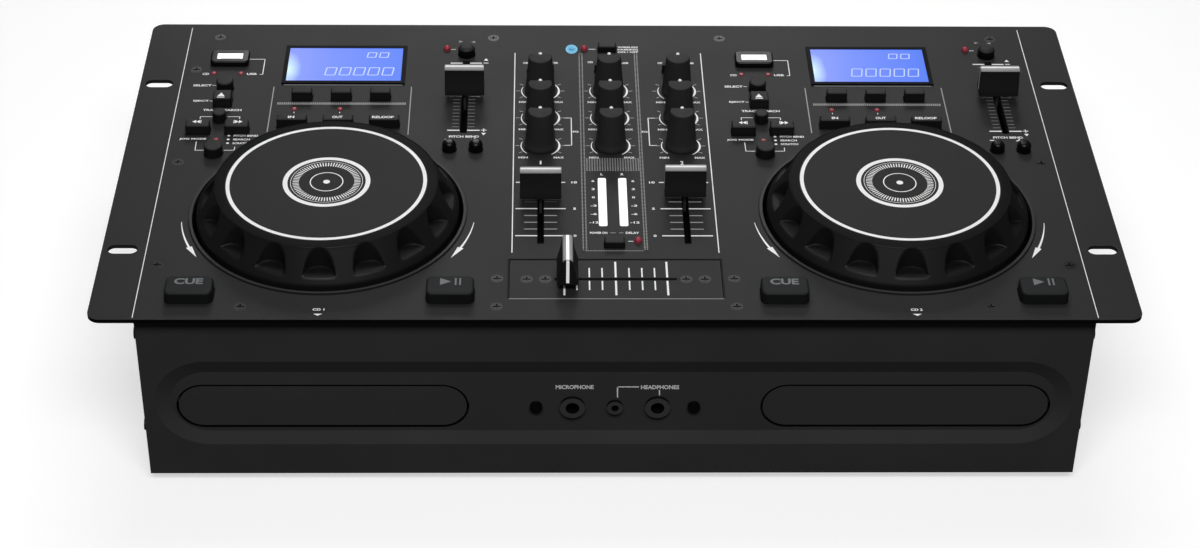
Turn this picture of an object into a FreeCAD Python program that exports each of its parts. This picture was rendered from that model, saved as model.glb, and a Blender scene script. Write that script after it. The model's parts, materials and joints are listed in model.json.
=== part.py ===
import FreeCAD, Part
import math
import os
import Sketcher
from FreeCAD import Placement, Rotation, Vector

# Twin disc player and mixer for a table top or a 19 inch rack.
# +Z up, the front toward -Y. The origin lies on the resting surface, under the middle of the top panel.

doc = FreeCAD.newDocument("dual_cd_player")
sheet = doc.addObject("Spreadsheet::Sheet", "Sizes")


class Size:
    """A length as the sheet's expression together with its number, so sums of sizes stay bound."""

    def __init__(self, text, number):
        self.text = text
        self.number = number

    def joined(self, sign, other, number):
        return Size("(%s %s %s)" % (self.text, sign, getattr(other, "text", other)), number)

    def __add__(self, other):
        return self.joined("+", other, self.number + number_of(other))

    def __sub__(self, other):
        return self.joined("-", other, self.number - number_of(other))

    def __mul__(self, other):
        return self.joined("*", other, self.number * number_of(other))

    def __truediv__(self, other):
        return self.joined("/", other, self.number / number_of(other))

    def __neg__(self):
        return Size("(0 - %s)" % self.text, -self.number)


def number_of(length):
    return getattr(length, "number", length)


ZERO = Size("0", 0.0)

driving_sizes = [
    # top panel and case
    ("panel_width", 482.6, "19 inch width over the rack ears"),
    ("panel_depth", 260, "top panel, front to rear"),
    ("panel_thickness", 2, "top panel sheet"),
    ("panel_corner", 6, "corner radius of the top panel"),
    ("case_width", 441.2, "case, over its sides"),
    ("case_height", 95.4, "underside of the floor to the panel's upper face"),
    ("case_sheet", 1.2, "case tray sheet"),
    ("front_sheet", 1.5, "front panel sheet"),
    ("front_inset", 4.4, "panel edge overhang in front of the front panel"),
    ("rear_inset", 9, "panel edge overhang behind the rear wall"),
    ("flange_depth", 12, "width of the front panel's side folds"),
    ("tab_length", 12, "screw tabs, along their wall"),
    ("tab_width", 10, "screw tabs, in from their wall"),
    ("tab_screw_in", 5.5, "tab screws in from their wall"),
    ("rear_flange", 9, "width of the rear wall's flange"),
    ("edge_screw_in", 4.2, "front and rear screws in from their wall"),
    ("sheet_gap", 0.2, "gap between nested sheets"),
    ("slot_spacing_x", 463.2, "rack slots, left to right"),
    ("slot_spacing_y", 146.05, "rack slots, front to rear"),
    ("slot_shift_y", -2.3, "middle of the rack slots from the panel's middle"),
    ("slot_long", 14.1, "rack slot length"),
    ("slot_wide", 7, "rack slot width"),
    ("foot_height", 5, "rubber foot below the floor"),
    ("foot_radius", 8, "rubber foot at its lower edge"),
    ("foot_top_radius", 9, "rubber foot at the floor"),
    ("foot_stem", 2.5, "radius of the foot's stem"),
    ("foot_stem_gap", 0.05, "stem in its hole in the floor"),
    ("foot_stem_rise", 1.5, "stem above the floor"),
    ("foot_inset_x", 26, "foot centre in from the case's side"),
    ("foot_inset_y", 22, "foot centre in from the case's front and rear"),
    # front panel recess and openings
    ("recess_width", 430.4, "long rounded recess, over its rim"),
    ("recess_tall", 49.6, "recess height at its rim"),
    ("recess_centre", 42.8, "recess middle above the case's underside"),
    ("recess_deep", 2.5, "recess depth"),
    ("recess_slope", 7.2, "width of the recess's sloping edge"),
    ("recess_drop", 0.8, "recess floor's middle below the rim's middle"),
    ("door_width", 137, "tray opening width"),
    ("door_tall", 25.6, "tray opening height"),
    ("door_centre", 39.2, "tray opening's middle above the case's underside"),
    ("door_gap", 1.1, "gap round the tray door"),
    ("door_inset", 0.3, "tray door behind the recess face"),
    ("door_thickness", 3, "tray door"),
    ("jack_spacing", 40, "microphone jack to headphone jack"),
    ("jack_radius", 3.25, "bore of the 6.35 mm jacks"),
    ("jack_nut", 5.9, "radius of a jack's round nut"),
    ("jack_nut_proud", 1.8, "nut height on the panel"),
    ("jack_neck", 4.6, "threaded neck of a jack"),
    ("jack_body", 15, "jack body, square"),
    ("jack_length", 26, "jack body behind the panel"),
    ("jack_end", 3, "jack body beyond its bore"),
    ("mini_radius", 1.8, "bore of the 3.5 mm jack"),
    ("mini_neck", 2.9, "neck of the small jack"),
    ("mini_nut", 3.8, "nut of the small jack"),
    ("mini_body", 8, "small jack body, square"),
    ("mini_length", 14, "small jack body behind the panel"),
    ("front_screw_spacing", 74.2, "screws beside the jacks"),
    # screws
    ("screw_radius", 1.5, "screw shank"),
    ("screw_head", 3, "screw head radius"),
    ("screw_sink", 1.6, "depth of a countersunk head"),
    ("screw_gap", 0.1, "shank in its hole"),
    ("screw_length", 5, "screw below its head"),
    ("corner_screw_x", 204.6, "rear panel screws near the corners"),
    ("middle_screw_x", 60, "rear panel screws beside the mixer"),
    ("front_screw_x", 172.4, "front panel screws"),
    ("tab_rear_y", 84.5, "rear side tabs"),
    ("tab_middle_y", -1.7, "middle side tabs"),
    ("tab_front_y", -87.7, "front side tabs"),
    ("side_screw_low", 24.5, "lower side screw above the case's underside"),
    ("side_screw_high", 79, "upper side screw above the case's underside"),
    ("dome_rise", 1.6, "height of a domed head"),
    ("cross_width", 0.7, "width of the cross slot in a screw head"),
    ("cross_deep", 0.8, "depth of the cross slot"),
    # decks
    ("deck_spacing", 274, "left deck to right deck"),
    ("jog_y", -44.65, "jog wheel axis"),
    ("jog_hole", 65, "radius of the panel's jog opening"),
    ("jog_lip", 1.4, "width of the raised lip round the opening"),
    ("jog_lip_rise", 0.8, "height of the lip"),
    ("jog_base", 62.9, "jog rim radius at its foot"),
    ("jog_top", 53.6, "jog rim radius at its top"),
    ("jog_rise", 17.6, "jog top above the panel"),
    ("jog_ledge", 2.2, "upright edge at the rim's foot"),
    ("jog_inner", 50, "inside radius of the rim"),
    ("jog_web", 3, "jog web under the top plate"),
    ("jog_bevel", 0.6, "bevel at the rim's upper edge"),
    ("press_gap", 0.02, "gap of pressed and glued pieces"),
    ("jog_plate", 52.6, "radius of the flat top plate"),
    ("jog_plate_thick", 1.2, "top plate"),
    ("jog_hub", 9, "hub radius"),
    ("jog_shaft", 4, "shaft radius"),
    ("jog_skirt", 2.5, "rim below the panel's upper face"),
    ("grip_count", 16, "finger hollows round the rim"),
    ("grip_radius", 7.3, "radius of a finger hollow"),
    ("grip_centre", 60.4, "finger hollow's axis from the jog's axis"),
    ("grip_floor", 6.2, "floor of the finger hollows above the panel"),
    ("cup_flange", 6, "flange of the housing under the panel"),
    ("cup_deep", 16, "depth of the jog housing"),
    ("cup_wall", 1.5, "jog housing wall"),
    ("bush_radius", 8, "outside of the bush"),
    ("bush_length", 12, "bush below the housing's floor"),
    ("running_gap", 0.05, "shaft in its bush"),
    ("seat_gap", 0.3, "rest gap between a turning piece and its seat"),
    # disc tray and drive
    ("tray_width", 128, "disc tray"),
    ("tray_length", 160, "disc tray, front to rear"),
    ("tray_thick", 6, "disc tray"),
    ("tray_top", 38.6, "disc tray's upper face above the case's underside"),
    ("tray_travel", 128, "how far the tray comes out"),
    ("disc_radius", 61, "disc recess"),
    ("disc_recess", 1.8, "depth of the disc recess"),
    ("small_disc_radius", 41, "inner recess"),
    ("small_disc_recess", 1.2, "inner recess below the disc recess"),
    ("tray_slot", 19, "half width of the tray's spindle slot"),
    ("tray_slot_long", 47, "spindle slot behind the spindle"),
    ("tray_lip", 4, "tray in front of the disc recess"),
    ("drive_width", 146, "drive housing"),
    ("drive_length", 174, "drive housing, front to rear"),
    ("drive_low", 17, "housing's underside above the case's underside"),
    ("drive_high", 57, "housing's upper face above the case's underside"),
    ("drive_sheet", 1, "housing sheet"),
    ("rail_height", 3, "guide rails under and over the tray's edges"),
    ("rail_reach", 12, "how far a rail reaches under the tray"),
    ("rail_gap", 0.3, "tray between its rails"),
    ("spindle_radius", 15, "turntable"),
    ("spindle_motor", 11, "spindle motor radius"),
    ("spindle_hub", 7.3, "turntable's centring hub"),
    ("pickup_width", 34, "optical pickup"),
    ("pickup_length", 26, "optical pickup"),
    ("pickup_height", 8, "optical pickup"),
    ("pickup_offset", 38, "pickup behind the spindle"),
    ("rod_radius", 1.5, "pickup guide rod"),
    # display
    ("display_y", 88.8, "display's middle"),
    ("display_width", 63.6, "display frame"),
    ("display_depth", 37, "display frame, front to rear"),
    ("window_width", 59.3, "display window"),
    ("window_depth", 32.5, "display window, front to rear"),
    ("frame_rise", 0.9, "display frame above the panel"),
    ("window_sink", 0.3, "window below its frame's face"),
    ("display_body", 8, "display module below the panel's face"),
    ("display_wall", 1.5, "display module round its window"),
    ("display_glass", 3, "display glass and panel"),
    # keys
    ("key_travel", 0.8, "key stroke"),
    ("key_gap", 0.3, "key in its opening"),
    ("key_flange", 1.2, "thickness of a key's flange under the panel"),
    ("key_lip", 0.9, "how far the flange passes the opening"),
    ("key_stem", 2, "half width of a key's stem"),
    ("key_stem_long", 3.4, "stem below the flange"),
    ("key_round", 0.9, "rounding of a key's upper edges"),
    ("switch_half", 3, "half width of a key switch"),
    ("switch_gap", 0.1, "pressed key above its switch"),
    ("cue_dx", -59.3, "cue key from the deck's middle"),
    ("play_dx", 60.4, "play key from the deck's middle"),
    ("cue_y", -111, "cue and play keys"),
    ("cue_width", 22, "cue and play keys"),
    ("cue_depth", 14, "cue and play keys, front to rear"),
    ("cue_rise", 6, "cue and play keys above the panel"),
    ("cue_corner", 3, "corner radius of the cue and play keys, seen from above"),
    ("cue_round", 1.3, "rounding of the cue and play keys' upper edges"),
    ("column_dx", -60.1, "column of small keys from the deck's middle"),
    ("select_y", 66, "select key"),
    ("select_radius", 4.35, "select key"),
    ("eject_y", 52.5, "eject key"),
    ("eject_width", 9.3, "eject key"),
    ("eject_depth", 8.4, "eject key, front to rear"),
    ("round_rise", 5.4, "round keys above the panel"),
    ("track_y", 36.5, "round track key"),
    ("track_radius", 3.5, "round track key"),
    ("search_y", 26, "search keys"),
    ("search_reach", 9.7, "search key's middle from the column"),
    ("search_width", 12, "search key"),
    ("search_depth", 6.6, "search key, front to rear"),
    ("search_rise", 5.4, "search, display and loop keys above the panel"),
    ("mode_y", 6, "jog mode key"),
    ("mode_radius", 4.65, "jog mode key"),
    ("display_key_y", 57, "display keys"),
    ("display_key_pitch", 20, "display keys"),
    ("display_key_width", 10.4, "display key"),
    ("small_key_depth", 5, "display, loop and mixer keys, front to rear"),
    ("loop_key_y", 31.5, "loop keys"),
    ("loop_key_pitch", 23.2, "loop keys"),
    ("loop_key_width", 15.3, "loop key"),
    ("pitch_dx", 63.1, "pitch fader from the deck's middle"),
    ("pitch_key_gap", 1, "pitch on key's flange behind the pitch slot"),
    ("pitch_key_radius", 4.4, "pitch on key"),
    ("bend_y", 10, "pitch bend keys"),
    ("bend_pitch", 13.2, "pitch bend keys"),
    ("bend_radius", 3.5, "pitch bend keys"),
    ("dome_key_rise", 5.2, "domed keys above the panel"),
    ("dome_round", 2.4, "rounding of the domed keys"),
    ("mixer_key_width", 9.6, "keys of the mixer"),
    ("mixer_key_rise", 3.6, "keys of the mixer above the panel"),
    ("wireless_key_y", 105, "rear mixer key"),
    ("meter_key_y", -71.6, "front mixer key"),
    # faders
    ("cap_length", 20, "fader cap across the slot"),
    ("cap_foot", 10, "fader cap at its foot, along the slot"),
    ("cap_head", 5.6, "fader cap at its ridge"),
    ("cap_low", 3.6, "cap's foot above the panel"),
    ("cap_high", 18, "cap's ridge above the panel"),
    ("lever_wide", 4, "fader lever along the slot"),
    ("lever_thick", 1.2, "fader lever across the slot"),
    ("lever_deep", 5, "lever inside the fader frame"),
    ("lever_gap", 0.6, "lever in the frame's slot"),
    ("cap_step", 1.6, "upright edge at the cap's foot"),
    ("cap_socket", 7, "lever inside the cap"),
    ("frame_wide", 9, "fader frame across the slot"),
    ("frame_tall", 8, "fader frame below the panel"),
    ("frame_floor", 1, "fader frame floor"),
    ("channel_frame_end", 4, "channel fader frame beyond its slot"),
    ("cross_frame_end", 8, "cross fader frame beyond its slot"),
    ("pitch_centre_y", 59.3, "middle of the pitch fader"),
    ("pitch_travel", 60, "pitch fader stroke"),
    ("pitch_slot_end", 2.4, "pitch slot beyond the lever's stroke"),
    ("pitch_slot_wide", 3.5, "pitch slot width"),
    ("channel_dx", 35, "channel fader from the middle"),
    ("channel_centre_y", -41.6, "middle of the channel fader"),
    ("channel_travel", 45, "channel and cross fader stroke"),
    ("channel_rest_left", 7.8, "left channel cap at rest, behind its middle"),
    ("channel_rest_right", 9.8, "right channel cap at rest, behind its middle"),
    ("channel_slot_end", 4.5, "channel slot beyond the lever's stroke"),
    ("channel_slot_wide", 3.3, "channel slot width"),
    ("cross_y", -98.4, "cross fader"),
    ("cross_slot_end", 4, "cross fader slot beyond the lever's stroke"),
    ("cross_slot_wide", 2, "cross fader slot width"),
    ("cross_plate_width", 98.6, "cross fader plate"),
    ("cross_plate_depth", 29.9, "cross fader plate, front to rear"),
    ("cross_plate_gap", 0.3, "plate in its opening"),
    ("cross_sink", 0.3, "plate below the panel's face"),
    ("cross_screw_in", 32.8, "the fader's own screws from the middle"),
    ("cross_screw_out", 41.5, "plate's screws from the middle"),
    ("bridge_width", 122, "bridge under the cross fader plate"),
    ("bridge_depth", 31, "bridge, front to rear"),
    ("bridge_sheet", 1.5, "bridge sheet"),
    ("bridge_screw", 55.2, "bridge's screws from the middle"),
    # knobs and slide switches
    ("knob_dx", 35.2, "knob columns"),
    ("knob_y", 64.4, "rear knob row"),
    ("knob_pitch", 25.5, "knob rows"),
    ("knob_skirt", 8, "knob at its foot"),
    ("knob_body", 7.3, "knob above its skirt"),
    ("knob_top", 6, "knob at its top"),
    ("knob_flat", 2.75, "pointer flat from the knob's axis, at its top"),
    ("knob_flat_low", 6.2, "pointer flat from the knob's axis, at its foot"),
    ("knob_rise", 20.8, "knob's top above the panel"),
    ("knob_lift", 0.6, "knob's foot above the panel"),
    ("knob_skirt_tall", 5.4, "height of the flared skirt"),
    ("knob_bore", 12, "shaft in the knob"),
    ("knob_edge", 1.4, "upright edge at the knob's foot"),
    ("shaft_radius", 3, "potentiometer shaft"),
    ("pot_half", 5.5, "half width of a potentiometer body"),
    ("pot_tall", 6.5, "potentiometer body"),
    ("pot_floor", 1.5, "shaft end above the board"),
    ("shaft_hole_gap", 0.8, "shaft in the panel"),
    ("slide_y", 83.5, "slide switches"),
    ("slide_travel", 10, "slide switch stroke"),
    ("slide_wide", 4, "slide lever along its stroke"),
    ("slide_deep", 2.6, "slide lever, front to rear"),
    ("slide_rise", 4.6, "slide lever above the panel"),
    ("slide_body", 19, "slide switch body along its stroke"),
    ("slide_body_deep", 6, "slide switch body, front to rear"),
    ("slide_body_tall", 5, "slide switch body"),
    ("slide_gap", 0.25, "slide lever in its slot"),
    # lights, meter, USB
    ("light_radius", 1.4, "indicator light"),
    ("light_rise", 0.7, "indicator light above the panel"),
    ("dome_radius", 1.8, "domed indicator light"),
    ("dome_light_rise", 2.3, "domed indicator light above the panel"),
    ("light_gap", 0.1, "light or meter bar in its hole"),
    ("usb_light_left", -67.4, "lights before the USB socket, from the deck's middle"),
    ("usb_light_right", -53.5, "lights before the USB socket, from the deck's middle"),
    ("usb_light_y", 80.6, "lights before the USB socket"),
    ("mode_light_y", 18.1, "jog mode light"),
    ("loop_light_left", -23.3, "loop lights from the deck's middle"),
    ("loop_light_right", -0.1, "loop lights from the deck's middle"),
    ("loop_light_y", 46.7, "loop lights"),
    ("pitch_light_dx", 52.7, "pitch light from the deck's middle"),
    ("pitch_light_y", 105.1, "pitch light"),
    ("wireless_light_x", -18.7, "wireless light"),
    ("power_light_x", -12.1, "power light"),
    ("wireless_light_y", 105.6, "wireless and power lights"),
    ("meter_light_x", 11.3, "meter light"),
    ("meter_light_y", -68.6, "meter light"),
    ("meter_dx", 5, "meter bar from the middle"),
    ("meter_wide", 4, "meter bar"),
    ("meter_rear", -15.4, "rear end of the meter bars"),
    ("meter_front", -56.1, "front end of the meter bars"),
    ("meter_deep", 6, "meter bar below the panel's face"),
    ("meter_corner", 0.9, "corner radius of the meter bars"),
    ("usb_y", 93.5, "USB socket"),
    ("usb_collar_width", 20, "collar round the USB socket"),
    ("usb_collar_depth", 12.4, "collar, front to rear"),
    ("usb_collar_rise", 3, "collar above the panel"),
    ("usb_corner", 2.4, "corner radius of the collar, seen from above"),
    ("usb_shell_width", 13.2, "USB shell"),
    ("usb_shell_depth", 5.8, "USB shell, front to rear"),
    ("usb_sheet", 0.35, "USB shell sheet"),
    ("usb_lip", 0.4, "collar above the shell's mouth"),
    ("usb_base", 3, "insulator at the foot of the USB shell"),
    ("usb_mouth", 1.6, "tongue below the shell's mouth"),
    ("usb_gap", 0.1, "shell in its collar"),
    ("usb_tongue", 1.8, "USB tongue thickness"),
    # boards and internals
    ("board_drop", 12, "control boards' upper face below the panel"),
    ("board_thick", 1.6, "circuit boards"),
    ("board_front", 1, "front edge of the deck boards"),
    ("board_rear", 110.6, "rear edge of the control boards"),
    ("deck_board_left", -77, "deck board from the deck's middle"),
    ("deck_board_right", 79, "deck board from the deck's middle"),
    ("mixer_board_half", 50, "half width of the mixer board"),
    ("mixer_board_front", -79, "front edge of the mixer board"),
    ("corner_board_half", 14, "half width of the cue and play boards"),
    ("corner_board_front", 8, "cue and play boards in front of their key"),
    ("corner_board_rear", 14, "cue and play boards behind their key"),
    ("corner_stud_dx", 9, "studs of the cue and play boards"),
    ("corner_stud_dy", 11.6, "studs of the cue and play boards"),
    ("cup_gap", 1.5, "deck board round the jog housing"),
    ("stud_radius", 2.4, "studs that carry the boards"),
    ("board_low", 8, "main and power boards above the floor"),
    ("deck_stud_left", -40, "deck board studs from the deck's middle"),
    ("deck_stud_right", 43, "deck board studs from the deck's middle"),
    ("deck_stud_outer", -72, "deck board studs from the deck's middle"),
    ("deck_stud_inner", 75, "deck board studs from the deck's middle"),
    ("deck_stud_rear", 107.6, "rear studs of the control boards"),
    ("deck_stud_middle", 50, "outer studs of the deck boards"),
    ("deck_stud_front", 45, "inner studs of the deck boards"),
    ("mixer_stud_dx", 46, "mixer board studs"),
    ("mixer_stud_middle", 20, "mixer board studs"),
    ("mixer_stud_front", -74, "mixer board studs"),
    ("main_y", -15, "main board's middle"),
    ("main_width", 104, "main board"),
    ("main_depth", 120, "main board, front to rear"),
    ("power_width", 150, "power supply board"),
    ("power_depth", 40, "power supply board, front to rear"),
    ("power_x", -116, "power supply board's middle"),
    ("power_y", 84, "power supply board's middle"),
    ("core_x", -80, "transformer's middle"),
    ("capacitor_radius", 6, "power supply capacitors"),
    ("capacitor_tall", 22, "power supply capacitors"),
    ("capacitor_pitch", 18, "power supply capacitors"),
    ("drive_post", 4, "posts under the disc drives"),
    ("drive_post_in", 12, "posts in from the drive's edges"),
    ("core_width", 46, "transformer core"),
    ("core_depth", 30, "transformer core, front to rear"),
    ("core_height", 34, "transformer core"),
    # rear sockets
    ("phono_height", 58, "upper row of phono sockets above the case's underside"),
    ("phono_pitch", 18, "phono sockets in a pair, one above the other"),
    ("phono_spacing", 30, "phono pairs"),
    ("phono_pairs", 4, "number of phono pairs"),
    ("phono_radius", 4.15, "phono barrel"),
    ("phono_boss", 5.2, "phono base's round boss through the wall"),
    ("phono_bore", 1.7, "phono contact hole"),
    ("phono_proud", 8.5, "phono barrel behind the rear wall"),
    ("phono_base", 6.5, "phono base half width"),
    ("phono_deep", 8, "phono base inside the wall"),
    ("phono_x", 45, "first phono pair"),
    ("socket_gap", 0.3, "sockets in the sheets' openings"),
    ("inlet_x", -170, "mains inlet"),
    ("inlet_width", 27, "mains inlet body"),
    ("inlet_tall", 20, "mains inlet body"),
    ("inlet_flange", 2, "inlet flange round its body"),
    ("inlet_proud", 1.5, "inlet flange thickness"),
    ("inlet_mouth", 23, "inlet recess width"),
    ("inlet_mouth_tall", 15.6, "inlet recess height"),
    ("inlet_deep", 18, "inlet recess depth"),
    ("inlet_pin", 11, "inlet pin length"),
    ("pin_pitch", 7, "inlet pins, side to side"),
    ("pin_offset", 2, "inlet pins above and below the middle"),
    ("pin_thick", 2, "inlet pin"),
    ("pin_wide", 4, "inlet pin"),
    ("rear_centre", 49, "inlet and power switch above the case's underside"),
    ("rocker_x", -125, "power switch"),
    ("rocker_width", 10, "rocker"),
    ("rocker_tall", 16, "rocker"),
    ("rocker_thick", 6, "rocker"),
    ("rocker_gap", 0.5, "rocker in its frame"),
    ("rocker_wall", 1.6, "power switch frame wall"),
    ("rocker_body", 14, "power switch body inside the wall"),
    ("rocker_pocket", 8, "power switch pocket inside the wall"),
    ("rocker_pin", 1, "radius of the rocker's pins"),
    ("rocker_pin_long", 1, "pin in the frame's wall"),
    ("rocker_tilt", 8, "rocker's tilt each way, degrees"),
]

for row, (alias, amount, note) in enumerate(driving_sizes, start=1):
    sheet.set("A%d" % row, note)
    sheet.set("B%d" % row, str(amount))
    sheet.setAlias("B%d" % row, alias)
doc.recompute()


class Sizes:
    pass


s = Sizes()
for alias, amount, note in driving_sizes:
    setattr(s, alias, Size("Sizes." + alias, float(sheet.get(alias))))

# ---------------------------------------------------------------- levels that many pieces share
panel_top = s.foot_height + s.case_height
panel_under = panel_top - s.panel_thickness
board_top = panel_under - s.board_drop
board_under = board_top - s.board_thick
floor_top = s.foot_height + s.case_sheet
front_face = s.front_inset - s.panel_depth / 2
front_back = front_face + s.front_sheet
rear_face = s.panel_depth / 2 - s.rear_inset
side_face = s.case_width / 2
recess_face = front_face + s.recess_deep
recess_back = recess_face + s.front_sheet
door_level = s.foot_height + s.door_centre
decks = {"left": -s.deck_spacing / 2, "right": s.deck_spacing / 2}


# ---------------------------------------------------------------- helpers
def unique(label):
    return doc.getUniqueObjectName(label)


def bind(thing, prop, length):
    """Bind a property to a size, or set it where the length is a plain number."""
    if isinstance(length, Size):
        thing.setExpression(prop, length.text)
    else:
        setattr(thing, prop, length)


def put(thing, x, y, z):
    for axis, length in zip("xyz", (x, y, z)):
        size = length if isinstance(length, Size) else Size(repr(float(length)), float(length))
        thing.setExpression("Placement.Base." + axis, size.text)
    return thing


def block(label, x, y, z):
    """Box between the low and high lengths given for each axis."""
    box = doc.addObject("Part::Box", unique(label))
    for prop, (low, high) in zip(("Length", "Width", "Height"), (x, y, z)):
        bind(box, prop, high - low)
    return put(box, x[0], y[0], z[0])


def around(middle, width):
    """Low and high lengths of a span about its middle."""
    return (middle - width / 2, middle + width / 2)


TURNS = {"x": Rotation(Vector(0, 1, 0), 90), "y": Rotation(Vector(1, 0, 0), -90), "z": Rotation()}


def rod(label, radius, x, y, z, along="z"):
    """Cylinder: the axis named by along takes a (low, high) pair, the others their middle."""
    spot = {"x": x, "y": y, "z": z}
    low, high = spot[along]
    spot[along] = low
    cylinder = doc.addObject("Part::Cylinder", unique(label))
    bind(cylinder, "Radius", radius)
    bind(cylinder, "Height", high - low)
    cylinder.Placement = Placement(Vector(), TURNS[along])
    return put(cylinder, spot["x"], spot["y"], spot["z"])


def taper(label, low_radius, high_radius, x, y, z):
    """Upright cone frustum."""
    cone = doc.addObject("Part::Cone", unique(label))
    bind(cone, "Radius1", low_radius)
    bind(cone, "Radius2", high_radius)
    bind(cone, "Height", z[1] - z[0])
    return put(cone, x, y, z[0])


def group(label, pieces):
    """Several separate solids as one object."""
    if len(pieces) == 1:
        return pieces[0]
    bundle = doc.addObject("Part::Compound", unique(label))
    bundle.Links = pieces
    return bundle


def fuse(label, pieces):
    if len(pieces) == 1:
        return pieces[0]
    joined = doc.addObject("Part::MultiFuse", unique(label))
    joined.Shapes = pieces
    return joined


def cut(label, base, tools):
    result = doc.addObject("Part::Cut", unique(label))
    result.Base = base
    result.Tool = group(label + "_tools", tools)
    return result


def soften(label, base, radius, wanted):
    """Round the edges of base whose bounding box passes the test wanted."""
    doc.recompute()
    picked = [number for number, edge in enumerate(base.Shape.Edges, start=1) if wanted(edge.BoundBox)]
    rounded = doc.addObject("Part::Fillet", unique(label))
    rounded.Base = base
    rounded.Edges = [(number, number_of(radius), number_of(radius)) for number in picked]
    return rounded


def at_top(height):
    """Test for edges that lie wholly at a height."""
    level = number_of(height)
    return lambda box: abs(box.ZMin - level) < 0.01 and abs(box.ZMax - level) < 0.01


def upright(box):
    return box.ZLength > 0.1 and box.XLength < 0.01 and box.YLength < 0.01


def new_body(label):
    return doc.addObject("PartDesign::Body", unique(label))


def sketch_of(body, plane, outline, offset=None):
    """Closed outline of straight lines on one of the body's planes, every corner bound to sizes."""
    sketch = body.newObject("Sketcher::SketchObject", unique(body.Name + "_outline"))
    support = [feature for feature in body.Origin.OriginFeatures if feature.Role == plane]
    sketch.AttachmentSupport = [(support[0], "")]
    sketch.MapMode = "FlatFace"
    if offset is not None:
        sketch.setExpression("AttachmentOffset.Base.z", offset.text)
    corners = [Vector(number_of(a), number_of(b), 0) for a, b in outline]
    count = len(corners)
    lines = [Part.LineSegment(corners[i], corners[(i + 1) % count]) for i in range(count)]
    sketch.addGeometry(lines, False)
    rules = [Sketcher.Constraint("Coincident", i, 2, (i + 1) % count, 1) for i in range(count)]
    for i, corner in enumerate(corners):
        rules.append(Sketcher.Constraint("DistanceX", -1, 1, i, 1, corner.x))
        rules.append(Sketcher.Constraint("DistanceY", -1, 1, i, 1, corner.y))
    sketch.addConstraint(rules)
    for i, (a, b) in enumerate(outline):
        for shift, length in enumerate((a, b)):
            if isinstance(length, Size):
                sketch.setExpression("Constraints[%d]" % (count + 2 * i + shift), length.text)
    return sketch


def rectangle(x, y):
    return [(x[0], y[0]), (x[1], y[0]), (x[1], y[1]), (x[0], y[1])]


def pad(body, sketch, thickness):
    feature = body.newObject("PartDesign::Pad", unique(body.Name + "_pad"))
    feature.Profile = sketch
    bind(feature, "Length", thickness)
    return feature


def pocket_up(body, sketch, depth):
    """Pocket that cuts upward from its sketch; the volume shows that it cut."""
    doc.recompute()
    before = body.Shape.Volume
    feature = body.newObject("PartDesign::Pocket", unique(body.Name + "_pocket"))
    feature.Profile = sketch
    feature.Reversed = True
    bind(feature, "Length", depth)
    doc.recompute()
    assert body.Shape.Volume < before, body.Name + ": the pocket removed nothing"
    return feature


def turned(label, outline):
    """Body of revolution about its own Z axis from an outline of (radius, height) corners."""
    body = new_body(label)
    sketch = sketch_of(body, "XZ_Plane", outline)
    feature = body.newObject("PartDesign::Revolution", unique(label + "_turn"))
    feature.Profile = sketch
    feature.ReferenceAxis = (sketch, ["V_Axis"])
    feature.Angle = 360
    return body


sub_parts = {}


def keep(name, pieces):
    """Register the solids of one node under its name."""
    if len(pieces) > 1:
        node = doc.addObject("Part::Compound", unique(name))
        node.Links = pieces
    else:
        node = pieces[0]
    node.Label = name
    sub_parts[name] = node
    return node


# what other sub-parts need cut into, or standing on, the sheets; filled while the pieces are made
panel_cuts = []
panel_studs = []
front_cuts = []
rear_cuts = []
floor_cuts = []
case_flange_cuts = []
front_flange_cuts = []
screws = []
boards = []
bodies_below = []
display_pieces = []
board_cuts = []


# ---------------------------------------------------------------- screws
def cross_slots(x, y, top):
    """Cutters of a cross recess that opens at the height top."""
    reach = s.screw_head * 0.6
    depth = (top - s.cross_deep, top + s.seat_gap)
    return [
        block("cross", (x - reach, x + reach), around(y, s.cross_width), depth),
        block("cross", around(x, s.cross_width), (y - reach, y + reach), depth),
    ]


def sunk_screw(x, y, top, cuts, *cuts_below):
    """Countersunk screw flush with a sheet, with its hole there and in the pieces below."""
    head_low = top - s.screw_sink
    head = taper("head", s.screw_radius, s.screw_head, x, y, (head_low, top))
    shank = rod("shank", s.screw_radius, x, y, (head_low - s.screw_length, head_low))
    screws.append(cut("sunk_screw", fuse("screw", [head, shank]), cross_slots(x, y, top)))
    wide = s.screw_radius + s.screw_gap
    cuts.append(taper("seat", wide, s.screw_head + s.screw_gap, x, y, (head_low, top)))
    for cut_list in (cuts, *cuts_below):
        cut_list.append(rod("bore", wide, x, y, (head_low - s.screw_length, head_low + s.screw_gap)))


bridge_cuts = []
cross_frame_cuts = []
cross_plate_cuts = []
rear_screw_y = rear_face - s.edge_screw_in
front_screw_y = front_back + s.edge_screw_in
tab_screw_x = side_face - s.case_sheet - s.tab_screw_in
for side in (-1, 1):
    for x in (s.corner_screw_x, s.middle_screw_x):
        sunk_screw(x * side, rear_screw_y, panel_top, panel_cuts, case_flange_cuts)
    for y in (s.tab_rear_y, s.tab_middle_y, s.tab_front_y):
        sunk_screw(tab_screw_x * side, y, panel_top, panel_cuts, case_flange_cuts)
    for x in (s.front_screw_x, s.bridge_screw):
        sunk_screw(x * side, front_screw_y, panel_top, panel_cuts, front_flange_cuts)
    sunk_screw(s.bridge_screw * side, s.cross_y, panel_top, panel_cuts, bridge_cuts)
    plate_top = panel_top - s.cross_sink
    sunk_screw(s.cross_screw_in * side, s.cross_y, plate_top, cross_plate_cuts, bridge_cuts, cross_frame_cuts)
    sunk_screw(s.cross_screw_out * side, s.cross_y, plate_top, cross_plate_cuts, bridge_cuts)


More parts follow.
